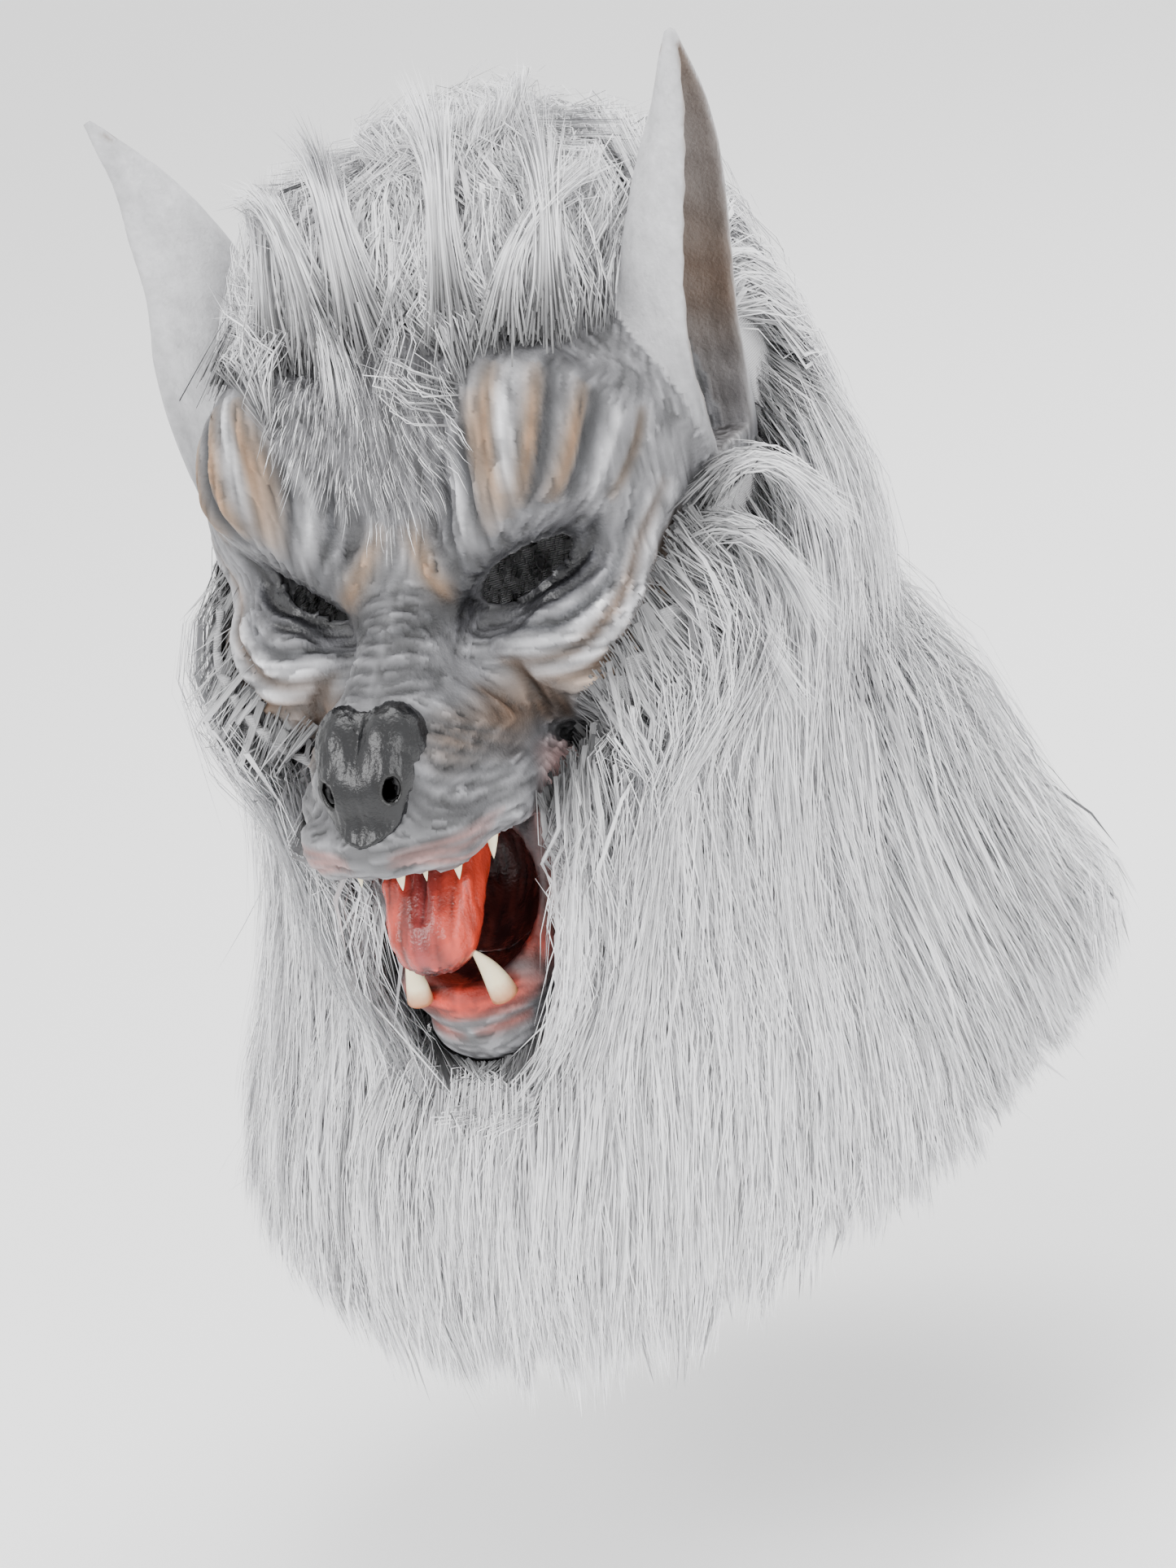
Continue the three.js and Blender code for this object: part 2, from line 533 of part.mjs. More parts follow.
// Stretches of skin that press against the cloth or the fur, which is cut clear of them there.
const MOUTH_SIDES = { half: 0.30, front: -0.62, back: -0.36, top: -0.355, bottom: -0.590 };
const FOREHEAD = { half: 0.32, front: -0.56, back: -0.26, top: -0.060, bottom: -0.240 };
function skinWithin({ half, front, back, top, bottom }) {
  const box = new THREE.BoxGeometry(2 * X(half), Y(back - front), Z(top - bottom));
  box.translate(0, Y(front + back) / 2, Z(top + bottom) / 2);
  return skinClear.intersect(solid(box));
}

// The mouth lining: a bowl round the throat behind the lips.
const MOUTH_LOW = [-X(0.22), Y(-1.02), Z(-0.65)];
const MOUTH_HIGH = [X(0.22), Y(-0.25), Z(-0.40)];
function throatSolid(grow, front) {
  const field = (x, y, z) => mouthField(x, y, z) - grow;
  const bowl = solid(fieldGeometry(field, MOUTH_LOW, MOUTH_HIGH, evenCells(LINING_CELL)));
  const box = new THREE.BoxGeometry(X(1), Y(1), Z(1)).translate(0, front + Y(0.5), Z(-0.5));
  return bowl.intersect(solid(box));
}

function makeFace() {
  const zone = outlinePrism(OPENING, EDGE_OVERLAP, Y(-1), Y(LATEX_BACK));
  let face = skinOuter.subtract(skinInner).intersect(zone);
  face = face.subtract(throatSolid(LATEX_WALL + 2 * GAP, Y(MOUTH_SEAM) - 2 * GAP));
  for (const side of [1, -1]) {
    face = face.subtract(ellipsoidSolid(EYE_HOLE, side, EYE_HOLE_SIDES));
    face = face.subtract(ellipsoidSolid(NOSTRIL, side, NOSTRIL_SIDES));
  }
  return largest(face);
}

function makeLining() {
  return largest(throatSolid(LATEX_WALL, Y(MOUTH_SEAM)).subtract(throatSolid(0, Y(MOUTH_SEAM) - CUT_PAST)));
}

// Ears: level sections with an arc on the head's side and an open side facing out.
function earSection(row, side, wall, out) {
  const half = Math.max(Y(row.half) - wall, EAR_LEAST);
  const depth = Math.max(X(row.depth) - wall, EAR_LEAST);
  const lean = side < 0 ? X(row.lean) : 0;
  const ring = [];
  for (let i = 0; i <= EAR_ARC; i += 1) {
    const a = Math.PI * i / EAR_ARC;
    const x = X(row.x) + lean - depth * Math.sin(a);
    ring.push([side * x, Y(row.y) - half * Math.cos(a), Z(row.z)]);
  }
  const rim = side * (X(row.x) + lean + out);
  ring.push([rim, Y(row.y) + half, Z(row.z)]);
  ring.push([rim, Y(row.y) - half, Z(row.z)]);
  return ring;
}

function earSolid(side, wall, out, rows = EAR) {
  return solid(loftGeometry(rows.map(row => earSection(row, side, wall, out))));
}

function makeEar(side) {
  const scoop = earSolid(side, EAR_WALL, EAR_RIM + CUT_PAST, EAR.slice(EAR_SCOOP_FROM, EAR_SCOOP_TO));
  return largest(earSolid(side, 0, EAR_RIM).subtract(scoop).subtract(skinClear));
}
const earClear = [1, -1].map(side => earSolid(side, -GAP - EAR_CLEAR, EAR_RIM + CUT_PAST));

function makeNose() {
  const lobe = ellipsoidField(NOSE_LOBE);
  const taper = rollField(NOSE_TAPER);
  const field = (x, y, z) => smoothMin(lobe(Math.abs(x), y, z), taper(Math.abs(x), y, z), NOSE_TAPER.soft);
  const low = [-X(0.13), Y(-0.86), Z(-0.48)];
  const high = [X(0.13), Y(-0.62), Z(-0.31)];
  let nose = solid(fieldGeometry(field, low, high, evenCells(NOSE_CELL))).subtract(skinClear);
  for (const side of [1, -1]) nose = nose.subtract(ellipsoidSolid(NOSTRIL, side, NOSTRIL_SIDES));
  return largest(nose);
}

function makeTongue() {
  const rings = TONGUE.map((row, i) => {
    const before = TONGUE[Math.max(i - 1, 0)];
    const after = TONGUE[Math.min(i + 1, TONGUE.length - 1)];
    const run = new THREE.Vector2(Y(after.y - before.y), Z(after.z - before.z)).normalize();
    const ring = [];
    for (let k = 0; k < TONGUE_SIDES; k += 1) {
      const a = 2 * Math.PI * k / TONGUE_SIDES;
      const top = Math.max(Math.sin(a), 0);
      const groove = TONGUE_GROOVE * top ** 8;
      const lift = Y(row.thick) * (Math.sin(a) - groove);
      ring.push([X(row.half) * Math.cos(a), Y(row.y) + lift * run.y, Z(row.z) - lift * run.x]);
    }
    return ring;
  });
  return largest(solid(loftGeometry(rings)).intersect(throatSolid(-2 * GAP, Y(-1))));
}

function makeTooth(tooth) {
  const root = new THREE.Vector3(X(tooth.root[0]), Y(tooth.root[1]), Z(tooth.root[2]));
  const tip = new THREE.Vector3(X(tooth.tip[0]), Y(tooth.tip[1]), Z(tooth.tip[2]));
  const length = root.distanceTo(tip);
  const r = X(tooth.radius);
  const profile = [[0, 0], [r, 0], [0.92 * r, 0.35], [0.66 * r, 0.7], [0.3 * r, 0.93], [0, 1]];
  const lathe = new THREE.LatheGeometry(profile.map(([x, t]) => new THREE.Vector2(x, t * length)), TOOTH_SIDES);
  const aim = new THREE.Quaternion().setFromUnitVectors(new THREE.Vector3(0, 1, 0), tip.clone().sub(root).normalize());
  lathe.applyQuaternion(aim).translate(root.x, root.y, root.z);
  return largest(solid(lathe).subtract(skinClear));
}

// A ray into the hood at an angle from the front and a height: level below the equator,
// fanning out to the crown above it. Returns where the skin field reaches a value.
function onHood(angle, z, value) {
  const level = Math.min(z, Z(EQUATOR));
  const top = Z(FORM[FORM.length - 1].z);
  const rise = Math.max(z - Z(EQUATOR), 0) / (top - Z(EQUATOR));
  const tilt = radians(90 * Math.min(rise, 1));
  const a = radians(angle);
  const dir = [Math.sin(a) * Math.cos(tilt), -Math.cos(a) * Math.cos(tilt), Math.sin(tilt)];
  let far = Z(0.55);
  let near = far;
  const at = r => skinField(dir[0] * r, dir[1] * r, level + dir[2] * r) - value;
  while (near > 1 && at(near) > 0) {
    far = near;
    near -= Z(0.01);
  }
  for (let i = 0; i < 24; i += 1) {
    const middle = (near + far) / 2;
    if (at(middle) > 0) far = middle;
    else near = middle;
  }
  return { point: [dir[0] * near, dir[1] * near, level + dir[2] * near], dir };
}

// The hood's outline as a closed solid at one distance outside the skin.
const HOOD_HEIGHTS = [
  -0.0066, -0.035, -0.08, -0.13, -0.19, -0.25, -0.295, -0.335, -0.37, -0.41, -0.45, -0.51, -0.60, -0.70,
];
function hoodSolid(value, bottom) {
  const heights = [...HOOD_HEIGHTS.map(Z), bottom];
  const rings = heights.map(z => {
    const left = HOOD_ANGLES.map(angle => onHood(angle, z, value).point);
    const right = left.slice(1, -1).reverse().map(([x, y, height]) => [-x, y, height]);
    return [...left, ...right];
  });
  return solid(loftGeometry(rings));
}
const CLOTH_INSIDE = GAP + HOOD_SLACK;
const hoodClear = hoodSolid(CLOTH_INSIDE + CLOTH_WALL + GAP, Z(HEM) - GAP);

function makeHood() {
  const front = outlinePrism(OPENING, 0, Y(-1), Y(OPENING_BACK));
  let hood = hoodSolid(CLOTH_INSIDE + CLOTH_WALL, Z(HEM)).subtract(hoodSolid(CLOTH_INSIDE, Z(HEM) - CUT_PAST));
  hood = hood.subtract(front).subtract(skinWithin(MOUTH_SIDES)).subtract(skinWithin(FOREHEAD));
  for (const ear of earClear) hood = hood.subtract(ear);
  return largest(hood);
}

// Fur: a panel of locks between two angles. Its back is cut to the hood, its face swells in
// locks, and each lock ends in a point under the hem.
const turned = angle => Math.abs(((angle + 180) % 360 + 360) % 360 - 180);
function furDepth(angle, z, edge) {
  const at = z / MASK.height;
  const t = turned(angle);
  const side = along(FUR_DEPTH, 'z', at, 'side');
  const front = along(FUR_DEPTH, 'z', at, 'front');
  const back = along(FUR_DEPTH, 'z', at, 'back');
  const full = t < 90 ? front + (side - front) * Math.sin(radians(t)) : side + (back - side) * (t - 90) / 90;
  return X(FACE_EDGE_DEPTH + (Math.max(full, FACE_EDGE_DEPTH) - FACE_EDGE_DEPTH) * edge);
}

function furPanel({ columns, heights, angleAt, heightAt, tipAt, edgeAt, lock }) {
  const inside = CLOTH_INSIDE + CLOTH_WALL - ROOT_DEPTH;
  const inner = [];
  const outer = [];
  for (let r = 0; r < heights; r += 1) {
    for (let c = 0; c <= columns; c += 1) {
      const u = c / columns;
      const v = r / (heights - 1);
      const ridge = c % 2 === 1;
      const tip = tipAt ? tipAt(u, ridge) : null;
      const z = heightAt(u, v, tip);
      const angle = angleAt(u, z);
      const { point, dir } = onHood(angle, z, inside);
      const swell = lock(v) * (ridge ? 0 : LOCK_VALLEY - 1) + 1;
      const end = tip === null ? 1 : Math.min(1, TIP_START + (z - tip) / (Z(HEM) - tip));
      const depth = Math.max(furDepth(angle, z, edgeAt(u, v)) * swell * end, LOCK_TIP) + ROOT_DEPTH;
      inner.push(point);
      outer.push(point.map((p, k) => p + dir[k] * depth));
    }
  }
  const points = [...inner, ...outer];
  const shift = inner.length;
  const at = (r, c) => r * (columns + 1) + c;
  const triangles = [];
  const quad = (a, b, c, d) => triangles.push([a, b, c], [a, c, d]);
  for (let r = 0; r < heights - 1; r += 1) {
    for (let c = 0; c < columns; c += 1) {
      quad(at(r, c), at(r, c + 1), at(r + 1, c + 1), at(r + 1, c));
      quad(at(r, c) + shift, at(r + 1, c) + shift, at(r + 1, c + 1) + shift, at(r, c + 1) + shift);
    }
    quad(at(r, 0), at(r + 1, 0), at(r + 1, 0) + shift, at(r, 0) + shift);
    quad(at(r, columns), at(r, columns) + shift, at(r + 1, columns) + shift, at(r + 1, columns));
  }
  for (let c = 0; c < columns; c += 1) {
    quad(at(0, c), at(0, c) + shift, at(0, c + 1) + shift, at(0, c + 1));
    const r = heights - 1;
    quad(at(r, c), at(r, c + 1), at(r, c + 1) + shift, at(r, c) + shift);
  }
  let panel = solid(closedGeometry(points, triangles)).subtract(hoodClear);
  for (const ear of earClear) panel = panel.subtract(ear);
  return largest(panel);
}

const evenCount = (from, to) => 2 * Math.round((to - from) / (2 * FUR_COLUMN_ANGLE));
const mix = (a, b, t) => a + (b - a) * t;
const tipHeight = angle => Z(along(FUR_TIPS, 'angle', turned(angle), 'z'));
const crownEdge = angle => Z(along(CROWN_EDGE, 'angle', turned(angle), 'z'));

// Angle from the front at which the opening's edge lies at a height.
function openingAngle(z) {
  const rows = [...OPENING].reverse();
  const half = X(along(rows, 'z', Math.min(z / MASK.height, OPENING[3].z), 'half'));
  for (let angle = 4; angle < 90; angle += 1) {
    if (onHood(angle, z, CLOTH_INSIDE).point[0] > half + FUR_SETBACK) return angle;
  }
  return 90;
}

// The side panels start under the ear, rise behind it to the crown fur, and run from the face
// edge to the back seam.
const SIDE_TOP = -0.258;
const EAR_BEHIND = { from: 84, to: 106 };   // angles between which the top edge rises
function sideTop(angle) {
  const rise = THREE.MathUtils.smoothstep(turned(angle), EAR_BEHIND.from, EAR_BEHIND.to);
  const top = mix(Z(SIDE_TOP), crownEdge(EAR_BEHIND.to), rise);
  return Math.min(crownEdge(angle), top) - FUR_SEAM;
}
const grown = (v, start, rate) => Math.min(1, start + rate * v);   // a ramp from start up to 1

function makeSide(side) {
  const lowest = Z(EDGE_LOWEST);
  const edge = new Map();
  const edgeAngle = z => {
    const key = Math.round(z / EDGE_STEP) * EDGE_STEP;
    const least = BEARD_ANGLE + SEAM;
    if (!edge.has(key)) edge.set(key, key < lowest ? least : Math.max(openingAngle(key), least));
    return edge.get(key);
  };
  const columns = evenCount(BEARD_ANGLE, FUR_SEAM_BACK);
  const nominal = u => mix(BEARD_ANGLE, FUR_SEAM_BACK, u);
  return furPanel({
    columns,
    heights: 8,
    angleAt: (u, z) => side * mix(edgeAngle(z), FUR_SEAM_BACK - SEAM, u),
    tipAt: (u, ridge) => (ridge ? tipHeight(nominal(u)) : Z(HEM) - NOTCH_DROP),
    heightAt: (u, v, tip) => mix(sideTop(nominal(u)), tip, v),
    edgeAt: (u, v) => grown(u, 0, 4) * grown(v, 0.5, 2),
    lock: v => grown(v, 0.3, 2),
  });
}

function makeBack() {
  const from = FUR_SEAM_BACK + SEAM;
  const to = 360 - from;
  return furPanel({
    columns: evenCount(from, to),
    heights: 9,
    angleAt: u => mix(from, to, u),
    tipAt: (u, ridge) => (ridge ? tipHeight(mix(from, to, u)) : Z(HEM) - NOTCH_DROP),
    heightAt: (u, v, tip) => mix(crownEdge(180) - FUR_SEAM, tip, v),
    edgeAt: () => 1,
    lock: v => grown(v, 0.3, 2),
  });
}

function makeBeard() {
  const edge = BEARD_ANGLE - SEAM;
  return furPanel({
    columns: evenCount(-edge, edge),
    heights: 5,
    angleAt: u => mix(-edge, edge, u),
    tipAt: (u, ridge) => (ridge ? tipHeight(mix(-edge, edge, u)) : Z(HEM) - BEARD_NOTCH_DROP),
    heightAt: (u, v, tip) => mix(Z(BEARD_TOP), tip, v),
    edgeAt: (u, v) => grown(v, 0.2, 3),
    lock: () => 1,
  });
}

// The crown fur: rings from the pole down to the crown edge, locks all round, thinner towards
// the face.
const CROWN_ROWS = 6;
const CROWN_THIN = { angle: 75, from: 0.6, loss: 1.9 };
function makeCrown() {
  const columns = evenCount(0, 360);
  const top = Z(FORM[FORM.length - 1].z);
  const rings = [];
  for (let r = CROWN_ROWS - 1; r >= 0; r -= 1) {
    const ring = [];
    for (let c = 0; c < columns; c += 1) {
      const angle = 360 * c / columns;
      const v = (r + 0.25) / (CROWN_ROWS - 0.75);
      const z = mix(top, crownEdge(angle), v);
      const { point, dir } = onHood(angle, z, CLOTH_INSIDE + CLOTH_WALL);
      const thin = turned(angle) < CROWN_THIN.angle ? 1 - CROWN_THIN.loss * Math.max(0, v - CROWN_THIN.from) : 1;
      const swell = 1 + Math.min(1, 1.6 * v) * (c % 2 === 1 ? 0 : LOCK_VALLEY - 1);
      const depth = furDepth(angle, z, 1) * swell * thin;
      ring.push(point.map((p, k) => p + dir[k] * depth));
    }
    rings.push(ring);
  }
  const bottom = rings[0].map((p, c) => {
    const angle = 360 * c / columns;
    return onHood(angle, crownEdge(angle), CLOTH_INSIDE + CLOTH_WALL - ROOT_DEPTH).point;
  });
  const body = solid(loftGeometry([bottom, ...rings]));
  let crown = body.subtract(hoodClear).subtract(skinWithin(FOREHEAD));
  for (const ear of earClear) crown = crown.subtract(ear);
  return largest(crown);
}

// The assembly.
const mask = new THREE.Group();
function add(name, manifold, finish) {
  const mesh = new THREE.Mesh(geometryOf(manifold), new THREE.MeshStandardMaterial(FINISH[finish]));
  mesh.name = name;
  mask.add(mesh);
}
add('face', makeFace(), 'latex');
add('mouth_lining', makeLining(), 'mouth');
add('nose', makeNose(), 'nose');
add('tongue', makeTongue(), 'tongue');
for (const tooth of TEETH) add(tooth.name, makeTooth(tooth), 'tooth');
add('ear_left', makeEar(1), 'latex');
add('ear_right', makeEar(-1), 'latex');
add('hood', makeHood(), 'cloth');
add('fur_crown', makeCrown(), 'fur');
add('fur_side_left', makeSide(1), 'fur');
add('fur_side_right', makeSide(-1), 'fur');
add('fur_back', makeBack(), 'fur');
add('fur_beard', makeBeard(), 'fur');

export default mask;
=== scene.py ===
"""Looks of the werewolf mask: a painted latex face and ears in a long-pile white fur hood."""

import bpy
import numpy as np
import openvdb
from mathutils import Matrix, Vector
from mathutils.kdtree import KDTree


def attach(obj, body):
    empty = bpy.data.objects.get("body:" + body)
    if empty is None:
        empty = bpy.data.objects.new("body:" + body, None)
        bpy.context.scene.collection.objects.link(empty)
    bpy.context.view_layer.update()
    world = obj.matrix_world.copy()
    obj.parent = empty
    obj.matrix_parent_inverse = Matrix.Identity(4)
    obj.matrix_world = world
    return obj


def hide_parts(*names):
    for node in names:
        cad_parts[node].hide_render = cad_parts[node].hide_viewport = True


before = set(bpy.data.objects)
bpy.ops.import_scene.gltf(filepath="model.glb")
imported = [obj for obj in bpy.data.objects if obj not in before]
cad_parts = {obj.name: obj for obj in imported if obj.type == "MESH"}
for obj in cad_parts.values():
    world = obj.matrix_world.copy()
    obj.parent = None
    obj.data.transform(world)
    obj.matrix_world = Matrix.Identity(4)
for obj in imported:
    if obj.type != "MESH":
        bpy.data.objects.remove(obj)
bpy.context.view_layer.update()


# Camera, at the photograph's angle
# The viewer stands in front of the mask, to its left and a little above it, and the mask
# leans to one side in the picture. The lens is long, so near and far parts keep their size.
IMAGE_WIDTH, IMAGE_HEIGHT = 1445, 1927
CAMERA_AZIMUTH = np.radians(25.5)
CAMERA_ELEVATION = np.radians(17.0)
CAMERA_ROLL = np.radians(13.0)
CAMERA_DISTANCE = 1.5
PIXELS_PER_METRE = 3820.0
AIM_POINT = np.array([0.0, -0.060, -0.107])
AIM_PIXEL = np.array([548.0, 664.0])
SENSOR = 36.0


def camera_axes():
    """Right, up and back of the camera in the mask's frame."""
    a, e, r = CAMERA_AZIMUTH, CAMERA_ELEVATION, CAMERA_ROLL
    right = np.array([np.cos(a), np.sin(a), 0.0])
    up = np.array([-np.sin(a) * np.sin(e), np.cos(a) * np.sin(e), np.cos(e)])
    back = np.array([np.sin(a) * np.cos(e), -np.cos(a) * np.cos(e), np.sin(e)])
    return np.cos(r) * right - np.sin(r) * up, np.sin(r) * right + np.cos(r) * up, back


def add_camera():
    right, up, back = camera_axes()
    off_centre = (np.array([IMAGE_WIDTH, IMAGE_HEIGHT]) / 2 - AIM_PIXEL) / PIXELS_PER_METRE
    target = AIM_POINT + right * off_centre[0] - up * off_centre[1]
    place = target + back * CAMERA_DISTANCE
    data = bpy.data.cameras.new("camera")
    data.sensor_width = SENSOR
    data.lens = PIXELS_PER_METRE * CAMERA_DISTANCE / IMAGE_HEIGHT * SENSOR
    data.clip_start = 0.05
    data.clip_end = 50.0
    camera = bpy.data.objects.new("camera", data)
    columns = np.stack([right, up, back, place], axis=1)
    camera.matrix_world = Matrix([*columns.tolist(), [0.0, 0.0, 0.0, 1.0]])
    bpy.context.scene.collection.objects.link(camera)
    bpy.context.scene.camera = camera


add_camera()


# Floor and studio light
# A plain pale floor under the mask, and large soft lamps from the front, both sides and
# above, as in a catalogue studio. The sky fills the shadows.
FLOOR_HEIGHT = -0.47
FLOOR_HALF = 6.0
LAMPS = [
    {"name": "key", "place": (-0.9, -1.9, 1.3), "size": 1.1, "power": 40.0},
    {"name": "fill", "place": (1.9, -1.3, 0.5), "size": 1.2, "power": 22.0},
    {"name": "top", "place": (0.2, 0.5, 2.0), "size": 1.4, "power": 34.0},
    {"name": "rim", "place": (1.2, 1.7, 0.7), "size": 1.0, "power": 20.0},
]
LAMP_AIM = (0.0, 0.0, -0.17)
SKY_STRENGTH = 1.6


def new_material(name):
    """A fresh material with its nodes, links and shader."""
    material = bpy.data.materials.new(name)
    material.use_nodes = True
    tree = material.node_tree
    return material, tree.nodes, tree.links, tree.nodes["Principled BSDF"]


def add_studio():
    square = ((-1, -1), (1, -1), (1, 1), (-1, 1))
    corners = [(x * FLOOR_HALF, y * FLOOR_HALF, FLOOR_HEIGHT) for x, y in square]
    mesh = bpy.data.meshes.new("floor")
    mesh.from_pydata(corners, [], [(0, 1, 2, 3)])
    floor = bpy.data.objects.new("floor", mesh)
    bpy.context.scene.collection.objects.link(floor)
    material, _, _, shader = new_material("floor")
    shader.inputs["Base Color"].default_value = (0.97, 0.97, 0.97, 1.0)
    shader.inputs["Roughness"].default_value = 0.9
    mesh.materials.append(material)
    for lamp in LAMPS:
        data = bpy.data.lights.new(lamp["name"], "AREA")
        data.size = lamp["size"]
        data.energy = lamp["power"]
        light = bpy.data.objects.new(lamp["name"], data)
        light.location = lamp["place"]
        aim = Vector(LAMP_AIM) - Vector(lamp["place"])
        light.rotation_euler = aim.to_track_quat("-Z", "Y").to_euler()
        bpy.context.scene.collection.objects.link(light)
    world = bpy.data.worlds.new("studio")
    world.use_nodes = True
    sky = world.node_tree.nodes["Background"]
    sky.inputs["Color"].default_value = (1.0, 1.0, 1.0, 1.0)
    sky.inputs["Strength"].default_value = SKY_STRENGTH
    bpy.context.scene.world = world


add_studio()


# Latex skin: face and ears
# One sheet of cast latex, 2 to 3 mm thick, painted by hand. Its form is a distance field, in
# millimetres: a plain head form, masses for the brows, cheeks, muzzle, lips and jaw that melt
# into it, and the hollows of the mouth and the eyes. Both halves are alike.
MILLIMETRE = 0.001
HEAD_FORM = [
    # height, half width, front, back
    (-345, 134, -126, 130),
    (-300, 112, -108, 114),
    (-262, 94, -94, 102),
    (-230, 84, -86, 96),
    (-190, 80, -84, 96),
    (-145, 85, -88, 103),
    (-105, 86, -92, 105),
    (-60, 79, -88, 96),
    (-32, 65, -72, 80),
    (-13, 44, -46, 56),
    (-5, 22, -22, 30),
    (-2.6, 2, -2, 8),
]
LUMPS = [
    # name, centre, radii, turns in degrees, softness of the joint
    ("brow lobe", (42, -74, -73), (29, 24, 36), (14, -24, 4), 9),
    ("temple", (64, -46, -96), (22, 28, 40), (0, 0, 0), 14),
    ("cheekbone", (58, -66, -131), (24, 23, 18), (0, 28, 0), 12),
    ("cheek", (40, -80, -140), (30, 22, 22), (0, 30, 0), 14),
    ("muzzle", (0, -100, -159), (34, 60, 26), (0, 0, 0), 10),
    ("jaw", (0, -84, -222), (36, 30, 44), (0, 0, 0), 12),
    ("chin", (0, -104, -253), (21, 19, 15), (0, 0, 0), 8),
]
ROLLS = [
    # name, one end, other end, radius at each, softness of the joint
    ("brow roll", (50, -86, -78), (21, -92, -107), 15, 11, 9),
    ("bridge", (0, -84, -116), (0, -128, -145), 20, 12, 12),
    ("front lip", (4, -155, -177), (19, -145, -177), 9, 9, 7),
    ("side lip", (19, -145, -177), (29, -120, -173), 9, 9, 8),
    ("lip corner", (29, -120, -173), (36, -96, -178), 9, 10, 9),
    ("jaw side", (37, -88, -182), (28, -92, -214), 8, 9, 9),
    ("jaw front", (28, -92, -214), (17, -110, -238), 8, 7, 7),
    ("lower lip", (17, -111, -238), (3, -118, -243), 7.5, 7.5, 7),
]
THROAT = ((0, -114, -210), (26, 46, 27), (0, 0, 0))
GAPE = ((0, -150, -207), (30, 40, 20), (14, 0, 0))
SOCKET = ((40, -101, -114), (25, 13, 10), (0, -33, -20))
MOUTH_SOFT = 6
HOLLOW_SOFT = 3
MIRROR_ROUNDING = 2.0


def smooth_min(a, b, soft):
    h = np.clip(0.5 + 0.5 * (b - a) / soft, 0, 1)
    return b * (1 - h) + a * h - soft * h * (1 - h)


def smooth_max(a, b, soft):
    return -smooth_min(-a, -b, soft)


def turn_matrix(turn):
    (cx, cy, cz), (sx, sy, sz) = np.cos(np.radians(turn)), np.sin(np.radians(turn))
    about_x = np.array([[1, 0, 0], [0, cx, -sx], [0, sx, cx]])
    about_y = np.array([[cy, 0, sy], [0, 1, 0], [-sy, 0, cy]])
    about_z = np.array([[cz, -sz, 0], [sz, cz, 0], [0, 0, 1]])
    return about_z @ about_y @ about_x


def ellipsoid(points, centre, radii, turn=(0, 0, 0)):
    """Distance to an ellipsoid, below zero inside it."""
    q = (points - np.array(centre, float)) @ turn_matrix(turn) / np.array(radii, float)
    k = np.linalg.norm(q, axis=-1)
    return k * (k - 1) / (np.linalg.norm(q / np.array(radii, float), axis=-1) + 1e-9)


def roll(points, a, b, radius_a, radius_b):
    """Distance to a tapered roll between two points."""
    a, b = np.array(a, float), np.array(b, float)
    t = np.clip((points - a) @ (b - a) / ((b - a) @ (b - a)), 0, 1)
    radius = radius_a + (radius_b - radius_a) * t
    return np.linalg.norm(points - a - t[..., None] * (b - a), axis=-1) - radius


def along(rows, at, column):
    """Smooth curve through one column of a table whose first column rises."""
    rows = np.array(rows, float)
    x, y = rows[:, 0], rows[:, column]
    slope = np.gradient(y, x)
    i = np.clip(np.searchsorted(x, at) - 1, 0, len(x) - 2)
    step = x[i + 1] - x[i]
    t = np.clip((at - x[i]) / step, 0, 1)
    start = y[i] * (2 * t**3 - 3 * t**2 + 1) + slope[i] * step * (t**3 - 2 * t**2 + t)
    return start + y[i + 1] * (3 * t**2 - 2 * t**3) + slope[i + 1] * step * (t**3 - t**2)


def head_form(points):
    x, y, z = points[..., 0], points[..., 1], points[..., 2]
    half, front, back = (along(HEAD_FORM, z, column) for column in (1, 2, 3))
    middle = 0.15 * (front + back)
    reach = np.where(y < middle, middle - front, back - middle)
    q = np.hypot(x / half, (y - middle) / reach)
    slope = np.hypot(x / half**2, (y - middle) / reach**2) + 1e-6
    return np.maximum(q * (q - 1) / slope, z - HEAD_FORM[-1][0])


def mirrored(points):
    """The points on the mask's left half, with the middle rounded off."""
    folded = points.copy()
    folded[..., 0] = np.hypot(points[..., 0], MIRROR_ROUNDING)
    return folded


def skin_field(points):
    """Head form and face masses, without any hollow."""
    folded = mirrored(points)
    d = head_form(folded)
    for _, centre, radii, turn, soft in LUMPS:
        d = smooth_min(d, ellipsoid(folded, centre, radii, turn), soft)
    for _, a, b, radius_a, radius_b, soft in ROLLS:
        d = smooth_min(d, roll(folded, a, b, radius_a, radius_b), soft)
    return d


def mouth_field(points):
    return smooth_min(ellipsoid(points, *THROAT), ellipsoid(points, *GAPE), MOUTH_SOFT)


def face_field(points):
    folded = mirrored(points)
    d = smooth_max(skin_field(points), -mouth_field(folded), HOLLOW_SOFT)
    return smooth_max(d, -ellipsoid(folded, *SOCKET), HOLLOW_SOFT)


# The left ear in level sections. The right one leans out more towards its tip.
EAR = [
    # height, x and y of the open side's middle, half width, depth, extra lean of the right ear
    (-112, 78, -18, 8, 12, 0),
    (-102, 85, -20, 17, 20, 2),
    (-82, 89.6, -23, 22, 28, 4),
    (-60, 91, -23, 24.6, 30, 5.6),
    (-40, 93, -22, 25, 30, 4),
    (-20, 96, -21, 22.6, 26.4, 0),
    (0, 99, -20.6, 17.6, 21, 1),
    (18, 100.6, -22, 11, 13, 3),
    (32, 101, -25, 5, 7, 8),
    (39, 100.6, -26, 2, 3, 11),
]
EAR_WALL = 4.5
EAR_SOFT = 14
SCOOP_TOP, SCOOP_BOTTOM = 32, -94


